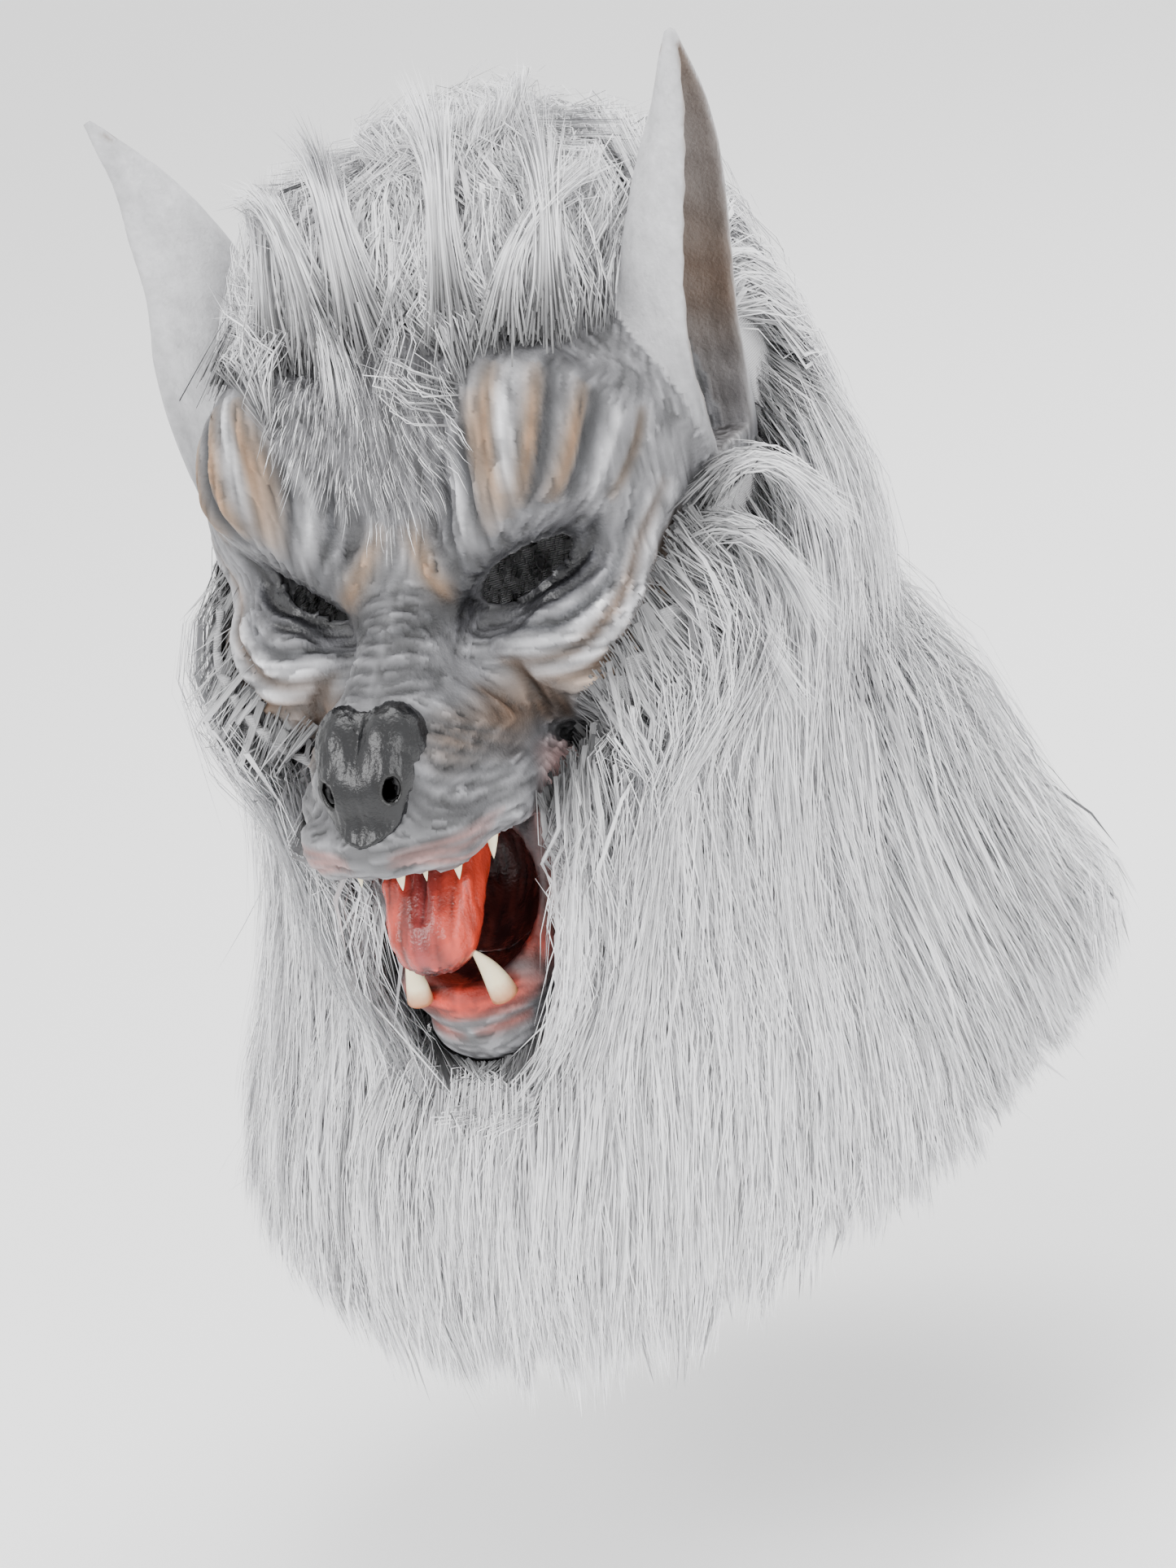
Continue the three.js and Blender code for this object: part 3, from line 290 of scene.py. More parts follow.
def ear_fields(points, side):
    """The ear's outside and its scooped hollow, for one side."""
    z = points[..., 2]
    middle_x = along(EAR, z, 1) + (along(EAR, z, 5) if side < 0 else 0)
    across = points[..., 1] - along(EAR, z, 2)
    inward = side * points[..., 0] - middle_x
    half, depth = along(EAR, z, 3), along(EAR, z, 4)

    def section(half, depth):
        q = np.hypot(across / half, inward / depth)
        return q * (q - 1) / (np.hypot(across / half**2, inward / depth**2) + 1e-6)

    outside = smooth_max(section(half, depth), inward, 3)
    outside = np.maximum(outside, np.maximum(z - EAR[-1][0], EAR[0][0] - z))
    hollow = section(np.maximum(half - EAR_WALL, 0.3), np.maximum(depth - EAR_WALL, 0.3))
    hollow = np.maximum(hollow, np.maximum(z - SCOOP_TOP, SCOOP_BOTTOM - z))
    return outside, hollow


def latex_field(points):
    d = face_field(points)
    for side in (1, -1):
        outside, hollow = ear_fields(points, side)
        d = smooth_min(d, outside, EAR_SOFT)
        d = smooth_max(d, -hollow, 2)
    return d


def field_mesh(field, low, high, cell):
    """Points in mm and faces of a field's zero surface, worked out finely only near it."""
    coarse_step = 4
    counts = [int(np.ceil((h - l) / (cell * coarse_step))) + 1 for l, h in zip(low, high)]
    coarse_lines = [l + np.arange(n) * cell * coarse_step for l, n in zip(low, counts)]
    coarse = field(np.stack(np.meshgrid(*coarse_lines, indexing="ij"), axis=-1))
    fine = np.kron(coarse, np.ones((coarse_step,) * 3))
    near = np.abs(fine) < cell * coarse_step * 2.2
    index = np.argwhere(near)
    fine[near] = field(np.array(low) + index * cell)
    band = 4 * cell
    grid = openvdb.FloatGrid(band)
    grid.copyFromArray(np.clip(fine, -band, band).astype(np.float32))
    grid.transform = openvdb.createLinearTransform(voxelSize=cell)
    points, triangles, quads = grid.convertToPolygons(0.0, 0.0)
    points = settle(field, points + np.array(low), 2)
    return points, [tuple(f) for f in triangles.tolist()] + [tuple(f) for f in quads.tolist()]


def slope_of(field, points, probe=0.4):
    """Unit slope of a field, and the field's value divided by the slope's length."""
    value = field(points)
    slope = np.stack([field(points + probe * axis) - value for axis in np.eye(3)], axis=-1) / probe
    length = np.linalg.norm(slope, axis=-1) + 1e-9
    return slope / length[:, None], value / length


def settle(field, points, rounds):
    """Moves points onto a field's zero surface."""
    for _ in range(rounds):
        normal, distance = slope_of(field, points)
        points = points - np.clip(distance, -2, 2)[:, None] * normal
    return points


# Folds, grooves and painted streaks of the face, left half; the right half mirrors them.
# Each runs through three points on the skin. Height above zero is a ridge, below it a groove.
PAINT = {
    "pale": (0.57, 0.57, 0.58),
    "grey": (0.41, 0.41, 0.42),
    "mid": (0.26, 0.26, 0.27),
    "dark": (0.17, 0.175, 0.19),
    "black": (0.06, 0.06, 0.07),
    "tan": (0.36, 0.275, 0.20),
    "brown": (0.29, 0.215, 0.16),
    "pink": (0.72, 0.47, 0.44),
    "red": (0.66, 0.19, 0.13),
    "deep": (0.28, 0.05, 0.04),
}
STREAKS = [
    # from, through, to, width, height, colour, strength
    ((5, -93, -91), (14, -104, -108), (21, -103, -114), 3.5, 1.2, "tan", 0.9),
    ((12, -92, -84), (17, -98, -98), (27, -103, -110), 2.0, -1.0, "mid", 0.6),
    ((23, -95, -70), (20, -93, -85), (26, -103, -105), 1.6, -1.4, "dark", 0.7),
    ((28, -96, -64), (26, -96, -80), (30, -103, -102), 2.2, 0.9, "pale", 0.8),
    ((34, -97, -60), (31, -98, -76), (34, -102, -99), 1.5, -1.5, "dark", 0.8),
    ((40, -94, -50), (37, -98, -70), (37, -103, -96), 3.0, 0.8, "tan", 0.6),
    ((46, -90, -44), (42, -98, -63), (42, -103, -92), 3.2, 1.3, "tan", 1.0),
    ((51, -87, -44), (48, -96, -58), (46, -102, -82), 2.8, 1.0, "pale", 1.0),
    ((56, -85, -47), (55, -98, -68), (48, -102, -88), 3.0, 1.3, "tan", 1.0),
    ((59, -77, -46), (59, -96, -70), (50, -101, -92), 2.2, -1.6, "dark", 0.9),
    ((63, -76, -50), (61, -93, -72), (54, -99, -90), 1.8, 0.8, "mid", 0.6),
    ((67, -75, -56), (65, -91, -72), (57, -98, -90), 3.0, 1.5, "tan", 1.0),
    ((70, -71, -60), (69, -85, -73), (61, -93, -90), 2.6, -1.6, "dark", 0.9),
    ((75, -67, -68), (72, -78, -76), (64, -86, -93), 2.2, 1.2, "pale", 0.8),
    ((79, -60, -70), (76, -70, -80), (68, -80, -96), 1.6, -1.0, "tan", 0.7),
    ((33, -87, -122), (52, -86, -116), (65, -79, -99), 1.6, -1.2, "black", 0.9),
    ((27, -95, -123), (50, -88, -120), (68, -76, -101), 1.8, 1.3, "mid", 0.8),
    ((22, -101, -120), (50, -88, -123), (71, -74, -102), 1.6, -1.2, "black", 0.8),
    ((24, -98, -125), (54, -88, -124), (75, -72, -94), 2.6, 1.6, "grey", 0.8),
    ((26, -97, -129), (58, -88, -126), (78, -69, -92), 1.6, -1.5, "dark", 0.8),
    ((27, -98, -132), (60, -91, -128), (80, -66, -92), 3.4, 1.8, "pale", 0.9),
    ((32, -100, -136), (63, -92, -131), (81, -63, -94), 1.8, -1.6, "brown", 0.9),
    ((36, -101, -139), (66, -91, -134), (83, -60, -96), 3.6, 1.8, "pale", 0.8),
    ((41, -101, -143), (68, -90, -138), (84, -60, -104), 1.8, -1.5, "brown", 0.9),
    ((46, -100, -146), (70, -88, -141), (83, -60, -112), 3.0, 1.5, "tan", 0.7),
    ((52, -97, -149), (72, -84, -144), (83, -60, -118), 1.6, -1.2, "dark", 0.6),
    ((19, -104, -116), (8, -112, -120), (0, -118, -121), 1.6, -1.1, "dark", 0.6),
]
# Families of like folds: the first one, the last one, how many, then as above.
FOLD_FAMILIES = [
    (((0, -110, -106), (8, -109, -107), (15, -105, -113)),
     ((0, -137, -131), (10, -133, -131), (20, -122, -137)), 8, 1.3, -1.1, "mid", 0.8),
    (((12, -138, -136), (24, -130, -147), (37, -104, -160)),
     ((12, -155, -160), (24, -150, -170), (36, -128, -172)), 7, 1.3, -0.7, "mid", 0.7),
    (((8, -163, -175), (22, -157, -176), (34, -135, -175)),
     ((6, -164, -181), (22, -156, -184), (32, -137, -184)), 3, 1.2, -0.7, "pink", 0.6),
    (((24, -112, -128), (32, -106, -142), (36, -98, -158)),
     ((46, -100, -148), (46, -96, -155), (42, -92, -165)), 6, 1.5, -0.9, "brown", 0.6),
    (((33, -106, -186), (31, -104, -205), (24, -108, -226)),
     ((39, -90, -186), (34, -92, -210), (24, -104, -236)), 5, 1.5, -0.8, "pink", 0.7),
    (((18, -118, -236), (10, -122, -239), (0, -124, -240)),
     ((18, -112, -250), (10, -120, -252), (0, -122, -253)), 3, 1.6, -0.8, "red", 0.5),
]
# Patches of paint on the left half: centre, radii, colour, strength. The black one at the nose is painted
# shade.
PATCHES = [
    ((40, -95, -113), (30, 22, 12), "dark", 0.95),
    ((22, -103, -119), (13, 14, 9), "black", 0.85),
    ((56, -86, -112), (16, 16, 12), "dark", 0.7),
    ((36, -112, -150), (16, 26, 12), "brown", 0.85),
    ((24, -135, -150), (10, 14, 10), "brown", 0.6),
    ((10, -150, -140), (13, 12, 9), "mid", 0.8),
    ((14, -158, -160), (8, 14, 12), "mid", 0.7),
    ((38, -100, -180), (13, 18, 14), "pink", 0.9),
    ((36, -98, -186), (7, 12, 9), "red", 0.6),
    ((34, -92, -205), (10, 16, 26), "pink", 0.9),
    ((12, -122, -240), (18, 11, 7), "red", 1.0),
    ((0, -124, -241), (14, 10, 6), "red", 1.0),
    ((22, -108, -226), (9, 10, 14), "red", 0.85),
    ((16, -112, -262), (24, 24, 12), "grey", 0.7),
    ((60, -55, -140), (16, 22, 16), "pink", 0.25),
    # Painted shade: black face skin under the nose pad, seen through the nostrils and just around the
    # pad.
    ((7, -150, -156), (10, 16, 12), "black", 1.0),
]
EYE_RING = 0.85
WRINKLED_SKIN = ((0, -80, -130), (95, 110, 95))
GLOSSY_LID = ((44, -92, -112), (30, 22, 13))


def to_linear(colour):
    """A colour written as it looks, as the numbers that shaders take."""
    c = np.array(colour, float)
    return np.where(c < 0.04045, c / 12.92, ((c + 0.055) / 1.055) ** 2.4)


def stroke_curves():
    """Every streak and fold on both halves, as lists of points with width, height and paint."""
    rng = np.random.default_rng(4)
    listed = [(row[:3], *row[3:]) for row in STREAKS]
    for first, last, count, width, height, paint, strength in FOLD_FAMILIES:
        for share in np.linspace(0, 1, count):
            points = np.array(first) * (1 - share) + np.array(last) * share
            listed.append((points + rng.normal(0, 0.8, (3, 3)), width, height, paint, strength))
    curves = []
    t = np.linspace(0, 1, 18)[:, None]
    for points, width, height, paint, strength in listed:
        for side in (1, -1):
            a, b, c = np.array(points, float) * (side, 1, 1) + rng.normal(0, 0.5, (3, 3))
            middle = 2 * b - (a + c) / 2
            line = (1 - t) ** 2 * a + 2 * t * (1 - t) * middle + t**2 * c
            line = settle(face_field, line, 3)
            curves.append((line, width, height, paint, strength))
    return curves


def nearest_on(line, points):
    """Distance from points to a line of points, the place along it and its direction there."""
    best = np.full(len(points), 1e9)
    place = np.zeros(len(points))
    heading = np.zeros((len(points), 3))
    for k in range(len(line) - 1):
        run = line[k + 1] - line[k]
        t = np.clip((points - line[k]) @ run / (run @ run + 1e-9), 0, 1)
        away = np.linalg.norm(points - line[k] - t[:, None] * run, axis=1)
        closer = away < best
        best = np.where(closer, away, best)
        place = np.where(closer, (k + t) / (len(line) - 1), place)
        heading[closer] = run / (np.linalg.norm(run) + 1e-9)
    return best, place, heading


def comb(values, points, pairs, flow, rounds):
    """Smooths values along the flow of the skin, which leaves fine lines that follow it."""
    start, end = pairs.T
    run = points[end] - points[start]
    run /= np.linalg.norm(run, axis=1)[:, None] + 1e-9
    weight = np.einsum("ij,ij->i", run, flow[start]) ** 8 + 0.004
    for _ in range(rounds):
        total = values * 0.25
        share = np.full(len(values), 0.25)
        np.add.at(total, start, weight * values[end])
        np.add.at(share, start, weight)
        np.add.at(total, end, weight * values[start])
        np.add.at(share, end, weight)
        values = total / share
    return values / (values.std() + 1e-9)


def edge_pairs(faces):
    pairs = {tuple(sorted((f[i], f[(i + 1) % len(f)]))) for f in faces for i in range(len(f))}
    return np.array(sorted(pairs))


def blob_share(points, centre, radii):
    q = np.linalg.norm((points - np.array(centre, float)) / np.array(radii, float), axis=1)
    return np.clip(1.25 - q, 0, 1) ** 1.2


def lay_folds(points):
    """Height of the folds at the points, the flow of the skin, and the paint of each fold."""
    height = np.zeros(len(points))
    flow = np.tile((0.15, -0.25, -0.95), (len(points), 1)) * 0.02
    shade = []
    for line, width, rise, colour, strength in stroke_curves():
        reach = width * 4 + 6
        close = np.all((points > line.min(0) - reach) & (points < line.max(0) + reach), axis=1)
        index = np.flatnonzero(close)
        away, place, heading = nearest_on(line, points[index])
        taper = np.sin(np.pi * np.clip(place, 0.02, 0.98)) ** 0.5
        taper = np.where((place < 0.001) | (place > 0.999), 0, taper)
        bump = np.exp(-((away / width) ** 2)) * taper
        height[index] += rise * bump
        flow[index] += heading * np.exp(-((away / (width * 2.5)) ** 2))[:, None]
        share = np.exp(-((away / (width * 1.15)) ** 2)) * taper * strength
        shade.append((index, share, np.array(PAINT[colour])))
    flow /= np.linalg.norm(flow, axis=1)[:, None] + 1e-9
    return height, flow, shade


def lay_over(paint, share, colour):
    """Paint with a share of a colour laid over it."""
    return paint * (1 - share[:, None]) + np.array(colour) * share[:, None]


def paint_face(points, shade):
    """Grey latex with its patches, the paint of the folds and the dark rings of the eyes."""
    paint = np.tile(PAINT["grey"], (len(points), 1))
    for side in (1, -1):
        for centre, radii, name, strength in PATCHES:
            share = blob_share(points * (side, 1, 1), centre, radii) * strength
            paint = lay_over(paint, share, PAINT[name])
    for index, share, colour in shade:
        paint[index] = lay_over(paint[index], share, colour)
    for side in (1, -1):
        from_eye = ellipsoid(points * (side, 1, 1), *EYE_HOLE)
        ring = EYE_RING * np.exp(-np.maximum(from_eye - 0.5, 0) / 4.5)
        paint = lay_over(paint, ring, PAINT["black"])
    return paint


def paint_throat(points, broad):
    """Red streaks that darken inwards, and the share of each point that lies in the mouth."""
    hollow = mouth_field(mirrored(points))
    inside = np.clip((4.5 - hollow) / 5, 0, 1) * np.clip(0.15 - skin_field(points) / 2.5, 0, 1)
    streak = np.clip(0.5 + 0.45 * broad, 0, 1)[:, None]
    throat = np.array(PAINT["red"]) * streak + np.array(PAINT["deep"]) * (1 - streak)
    deep = np.clip((points[:, 1] + 128) / 26, 0, 1)[:, None]
    throat = throat * (1 - deep) + (0.45 * throat + 0.55 * np.array(PAINT["black"])) * deep
    return throat, inside


def sculpt_and_paint(points, faces, normals):
    """Raises the folds and returns the moved points, the paint with painted shade in the grooves and
    painted light on the ridges, and how glossy each place is.
    """
    rng = np.random.default_rng(7)
    height, flow, shade = lay_folds(points)
    pairs = edge_pairs(faces)
    lines = comb(rng.normal(0, 1, len(points)), points, pairs, flow, 7)
    broad = comb(rng.normal(0, 1, len(points)), points, pairs, flow, 26)
    paint = paint_face(points, shade)
    paint = paint * (1 + 0.17 * lines[:, None] + 0.08 * broad[:, None])
    # Painted shade in the grooves of the folds and painted light on their ridges, by fold height.
    paint = paint * (1 + 0.26 * np.tanh(height * 1.1))[:, None]
    wrinkled = np.clip(blob_share(points, *WRINKLED_SKIN) * 3, 0.15, 1)
    height += (0.24 * lines + 0.24 * broad) * wrinkled
    throat, inside = paint_throat(points, broad)
    paint = paint * (1 - inside[:, None]) + throat * inside[:, None]
    lids = [blob_share(points * (side, 1, 1), *GLOSSY_LID) for side in (1, -1)]
    wet = np.clip(inside + np.maximum(*lids), 0, 1)
    return points + normals * height[:, None], np.clip(paint, 0.02, 0.97), wet


def make_object(name, points, faces, materials=(), paint=None, wet=None):
    """A smooth mesh object from points in mm, with its paint kept on the points."""
    mesh = bpy.data.meshes.new(name)
    mesh.from_pydata((np.asarray(points) * MILLIMETRE).tolist(), [], faces)
    mesh.polygons.foreach_set("use_smooth", np.ones(len(mesh.polygons), bool))
    if paint is not None:
        colour = np.ones((len(points), 4), np.float32)
        colour[:, :3] = to_linear(paint)
        layer = mesh.color_attributes.new("paint", "FLOAT_COLOR", "POINT")
        layer.data.foreach_set("color", colour.ravel())
    if wet is not None:
        gloss = mesh.attributes.new("wet", "FLOAT", "POINT")
        gloss.data.foreach_set("value", np.asarray(wet, np.float32))
    mesh.update()
    made = bpy.data.objects.new(name, mesh)
    bpy.context.scene.collection.objects.link(made)
    for material in materials:
        mesh.materials.append(material)
    return made


def part_of(points, faces, keep, *columns):
    """The kept faces with only the points that they use."""
    chosen = [f for f, k in zip(faces, keep) if k]
    used = np.unique(np.concatenate([np.array(f) for f in chosen]))
    new = np.full(len(points), -1)
    new[used] = np.arange(len(used))
    return points[used], [tuple(int(v) for v in new[list(f)]) for f in chosen], [c[used] for c in columns]


def add_node(nodes, kind, **values):
    """A shader node with input values set; an underscore stands for a space in a name."""
    node = nodes.new(kind)
    for name, value in values.items():
        node.inputs[name.replace("_", " ")].default_value = value
    return node


def mix_colours(nodes, links, blend, factor, a, b):
    node = nodes.new("ShaderNodeMix")
    node.data_type = "RGBA"
    node.blend_type = blend
    node.inputs["Factor"].default_value = factor
    links.new(a, node.inputs["A"])
    links.new(b, node.inputs["B"])
    return node.outputs["Result"]


def add_bump(nodes, links, shader, height, strength, distance):
    bump = add_node(nodes, "ShaderNodeBump", Strength=strength, Distance=distance)
    links.new(height, bump.inputs["Height"])
    links.new(bump.outputs["Normal"], shader.inputs["Normal"])


def latex_material(name, dry_roughness, wet_roughness, grain):
    """Painted latex: the paint on the points, fine brush grain, and gloss where it is wet."""
    material, nodes, links, shader = new_material(name)
    paint = nodes.new("ShaderNodeAttribute")
    paint.attribute_name = "paint"
    wet = nodes.new("ShaderNodeAttribute")
    wet.attribute_name = "wet"
    place = nodes.new("ShaderNodeTexCoord")
    fine = add_node(nodes, "ShaderNodeTexNoise", Scale=900.0, Detail=4.0)
    cloudy = add_node(nodes, "ShaderNodeTexNoise", Scale=130.0, Detail=5.0)
    links.new(place.outputs["Object"], fine.inputs["Vector"])
    links.new(place.outputs["Object"], cloudy.inputs["Vector"])
    levels = {"From_Min": 0.3, "From_Max": 0.7, "To_Min": 0.86, "To_Max": 1.10}
    shade = add_node(nodes, "ShaderNodeMapRange", **levels)
    links.new(cloudy.outputs["Fac"], shade.inputs["Value"])
    colours = (paint.outputs["Color"], shade.outputs["Result"])
    tinted = mix_colours(nodes, links, "MULTIPLY", 1.0, *colours)
    links.new(tinted, shader.inputs["Base Color"])
    rough = add_node(nodes, "ShaderNodeMapRange", To_Min=dry_roughness, To_Max=wet_roughness)
    links.new(wet.outputs["Fac"], rough.inputs["Value"])
    links.new(rough.outputs["Result"], shader.inputs["Roughness"])
    add_bump(nodes, links, shader, fine.outputs["Fac"], grain, 0.0006)
    return material


SKIN_LOW, SKIN_HIGH = (-122, -182, -276), (122, 20, 44)
SKIN_CELL = 1.5
EYE_HOLE = ((38, -90, -112), (16.4, 22, 6), (0, -34, -20))
NOSTRIL = ((8.4, -153, -157), (2.8, 16, 4.2), (0, 20, 28))
# Front edge of the hood, which the latex runs under: height and half width of its opening.
HOOD_OPENING = [
    (-269, 0),
    (-262, 21),
    (-235, 33),
    (-190, 38),
    (-165, 43),
    (-152, 51),
    (-140, 61),
    (-129, 70),
    (-118, 75),
    (-105, 82),
    (-97, 98),
    (-52, 98),
    (-44, 66),
    (-39, 38),
    (-36, 0),
]
LATEX_UNDER_HOOD = 16
LATEX_BACK = 8
LATEX_WALL = 2.2
LINING_FRONT = -98
HOLE_EDGE = 0.8
EAR_WHITE = (0.74, 0.74, 0.75)


def inside_opening(points, margin, back):
    """Which points lie inside the hood's front opening, as seen from the front."""
    x, y, z = points[..., 0], points[..., 1], points[..., 2]
    bottom, top = HOOD_OPENING[0][0], HOOD_OPENING[-1][0]
    half = np.interp(z, *np.array(HOOD_OPENING, float).T) + margin
    return (np.abs(x) < half) & (y < back) & (z < top + margin) & (z > bottom - margin)


def at_hairline(points, half, back, top):
    """Which points lie in the band over the brow where the hood ends and the latex starts."""
    x, y, z = points.T
    return (np.abs(x) < half) & (y < back) & (z > -60) & (z < top)


def shape_ears(points, moved, normals, paint, ears):
    """White ears with brown ribbed scoops."""
    for side in (1, -1):
        mine = ears == side
        _, hollow = ear_fields(points, side)
        scoop = np.clip(1.2 - hollow / 2.5, 0, 1) * mine
        rim = np.clip((points[:, 0] * side - along(EAR, points[:, 2], 1) + 4) / 4, 0, 1)
        speckle = np.random.default_rng(12).normal(0, 1, (len(points), 1))
        tone = 0.55 + 0.18 * np.sin(points[:, 2] * 0.09 + 2 * np.sin(points[:, 1] * 0.09))[:, None]
        inner = np.array(PAINT["brown"]) * 1.12 * tone + np.array(PAINT["grey"]) * (1 - tone)
        outer = np.array(EAR_WHITE) * (1 - 0.06 * rim[:, None])
        high = np.clip((points[:, 2] + 100) / 50, 0, 1)[:, None]
        ear_paint = outer * (1 - scoop[:, None]) + inner * scoop[:, None]
        ear_paint = paint * (1 - high) + ear_paint * high * (1 + 0.02 * speckle)
        paint = np.where(mine[:, None], ear_paint, paint)
        wave = 2.2 * np.sin(points[:, 1] * 0.16)
        ripple = np.sin(points[:, 2] * 0.42 + wave + points[:, 1] * 0.22)
        moved = moved + normals * (0.5 * ripple * scoop**3)[:, None]
    return moved, paint


def make_latex():
    points, faces = field_mesh(latex_field, SKIN_LOW, SKIN_HIGH, SKIN_CELL)
    normals, _ = slope_of(latex_field, points)
    ears = np.zeros(len(points), int)
    for side in (1, -1):
        outside, _ = ear_fields(points, side)
        ears[(outside < skin_field(points)) & (outside < 3)] = side
    kept = inside_opening(points, LATEX_UNDER_HOOD, LATEX_BACK) | (ears != 0)
    kept |= at_hairline(points, 80, -34, -8)
    hole_edge = []
    # The nostril's cut edge is painted black, as painted shade in the hole; the eye hole's edge is
    # painted mid grey.
    for hole, colour in ((EYE_HOLE, "mid"), (NOSTRIL, "black")):
        for side in (1, -1):
            away, gap = slope_of(lambda p: ellipsoid(p * (side, 1, 1), *hole), points)
            kept &= gap > -HOLE_EDGE
            hole_edge.append((np.abs(gap) < HOLE_EDGE, away * gap[:, None], colour))
    moved, paint, wet = sculpt_and_paint(points, faces, normals)
    for edge, step, colour in hole_edge:
        moved[edge] -= step[edge]
        paint[edge] = PAINT[colour]
    moved, paint = shape_ears(points, moved, normals, paint, ears)
    face_of = np.array([f[0] for f in faces])
    whole = np.array([all(kept[v] for v in f) for f in faces])
    hollow = mouth_field(mirrored(points))
    in_mouth = (hollow < 1.0) & (points[:, 1] > LINING_FRONT)
    lining = np.array([all(in_mouth[v] for v in f) for f in faces])
    skin = latex_material("latex", 0.52, 0.16, 0.5)
    mouth = latex_material("mouth_latex", 0.4, 0.22, 0.5)
    groups = [
        ("face", whole & (ears[face_of] == 0) & ~lining, skin, "latex"),
        ("mouth_lining", lining & whole, mouth, "mouth"),
        ("ear_left", whole & (ears[face_of] == 1), skin, "latex"),
        ("ear_right", whole & (ears[face_of] == -1), skin, "latex"),
    ]
    for name, keep, material, slot in groups:
        part, part_faces, (part_paint, part_wet) = part_of(moved, faces, keep, paint, wet)
        piece = make_object(name + "_skin", part, part_faces, [material], part_paint, part_wet)
        if name in ("face", "mouth_lining"):
            add_wall(piece, LATEX_WALL)
        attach(piece, "root")
        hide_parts(name)


def add_wall(piece, thickness):
    """Thickens a sheet on the side that faces the head."""
    mesh = piece.data
    centre = Vector((0.0, -0.04, -0.15))
    outward = sum((p.center - centre).dot(p.normal) * p.area for p in mesh.polygons)
    wall = piece.modifiers.new("wall", "SOLIDIFY")
    wall.thickness = thickness * MILLIMETRE
    wall.offset = 1.0 if outward < 0 else -1.0


make_latex()


# Nose pad
# A solid pad of the same latex, glossy charcoal, with two upper lobes, a groove between them,
# and a nostril on each side that runs down into a comma-shaped fold.
NOSE_LOBE = ((8, -143, -149), (10.4, 13, 15), (-20, 0, -14))
NOSE_TAPER = ((6.8, -150, -157), (1.2, -156, -173), 9, 5)
NOSE_PAD_CORE = ((0, -152, -155), (14, 22, 21))
NOSE_PAD_THICKNESS = 0.8
NOSE_GROOVES = [
    # from, to, radius, on the left half
    ((0, -150, -130), (0, -163, -148), 2.2),
    ((0, -163, -148), (0, -164.5, -170), 2.0),
]
NOSE_CELL = 0.9
CHARCOAL, WORN_CHARCOAL = (0.066, 0.069, 0.078), (0.12, 0.12, 0.13)


def nose_field(points):
    folded = points.copy()
    folded[..., 0] = np.abs(points[..., 0])
    core = np.maximum(ellipsoid(points, *NOSE_PAD_CORE), face_field(points) - NOSE_PAD_THICKNESS)
    d = smooth_min(ellipsoid(folded, *NOSE_LOBE), roll(folded, *NOSE_TAPER), 5)
    d = smooth_min(d, core, 3)
    for a, b, radius in NOSE_GROOVES:
        d = smooth_max(d, -roll(folded, a, b, radius, radius * 0.7), 1.6)
    return smooth_max(d, -ellipsoid(folded, *NOSTRIL), 1.2)


def make_nose():
    points, faces = field_mesh(nose_field, (-24, -174, -186), (24, -122, -126), NOSE_CELL)
    normals, _ = slope_of(nose_field, points)
    rng = np.random.default_rng(21)
    pairs = edge_pairs(faces)
    flow = np.tile((0.0, -0.3, -1.0), (len(points), 1))
    wrinkle = comb(rng.normal(0, 1, len(points)), points, pairs, flow, 10)
    edge = np.clip(face_field(points) / 0.6, 0, 1)[:, None]
    paint = np.array(CHARCOAL) * edge + np.array(WORN_CHARCOAL) * (1 - edge)
    worn = np.clip(0.5 + 0.4 * wrinkle, 0, 1)[:, None]
    paint = paint * (0.8 + 0.35 * worn)
    # Painted shade: the inside of each nostril is darkened almost to black.
    deep = np.clip(1.4 - ellipsoid(mirrored(points), *NOSTRIL), 0, 1)[:, None]
    paint = paint * (1 - deep) + 0.02 * deep
    material = latex_material("nose_latex", 0.34, 0.26, 0.35)
    moved = points + normals * (0.14 * wrinkle)[:, None]
    nose = make_object("nose_pad", moved, faces, [material], paint, np.ones(len(points)))
    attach(nose, "root")
    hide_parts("nose")


make_nose()


# Tongue
# A thick red slab of latex that comes out of the throat and hangs over its rounded tip, with
# a groove along its middle and a rolled rim. It is stuck to the floor of the mouth.
TONGUE_SLABS = [
    # y, z, half width, half thickness
    (-84, -191, 12, 6),
    (-98, -191, 14, 6.5),
    (-112, -193, 16, 7),
    (-122, -201, 16.5, 7),
    (-129, -211, 15.5, 6.8),
    (-133, -219, 12.5, 6),
]
TONGUE_GROOVES = [
    ((0, -100, -182), (0, -124, -190), 1.6),
    ((0, -124, -190), (0, -139, -206), 1.6),
    ((6, -112, -183), (6, -133, -198), 0.7),
    ((-6, -112, -183), (-5, -133, -198), 0.7),
]
TONGUE_RIM = [
    ((12.5, -110, -187), (12.5, -128, -199), 2.4),
    ((12.5, -128, -199), (9, -138, -214), 2.6),
    ((9, -138, -214), (0, -139, -221), 2.6),
]
TONGUE_CELL = 1.25
TONGUE_RED, TONGUE_DULL = (0.72, 0.23, 0.16), (0.46, 0.19, 0.19)


def tongue_field(points):
    folded = mirrored(points)
    d = np.full(points.shape[:-1], 1e3)
    slabs = np.array(TONGUE_SLABS, float)
    for share in np.linspace(0, len(slabs) - 1, 11):
        low = min(int(share), len(slabs) - 2)
        y, z, half, thick = slabs[low] + (slabs[low + 1] - slabs[low]) * (share - low)
        d = smooth_min(d, ellipsoid(points, (0, y, z), (half, thick + 5, thick + 2)), 4)
    for a, b, radius in TONGUE_GROOVES:
        d = smooth_max(d, -roll(points, a, b, radius, radius), 3)
    for a, b, radius in TONGUE_RIM:
        d = smooth_min(d, roll(folded, a, b, radius, radius), 2.5)
    return d


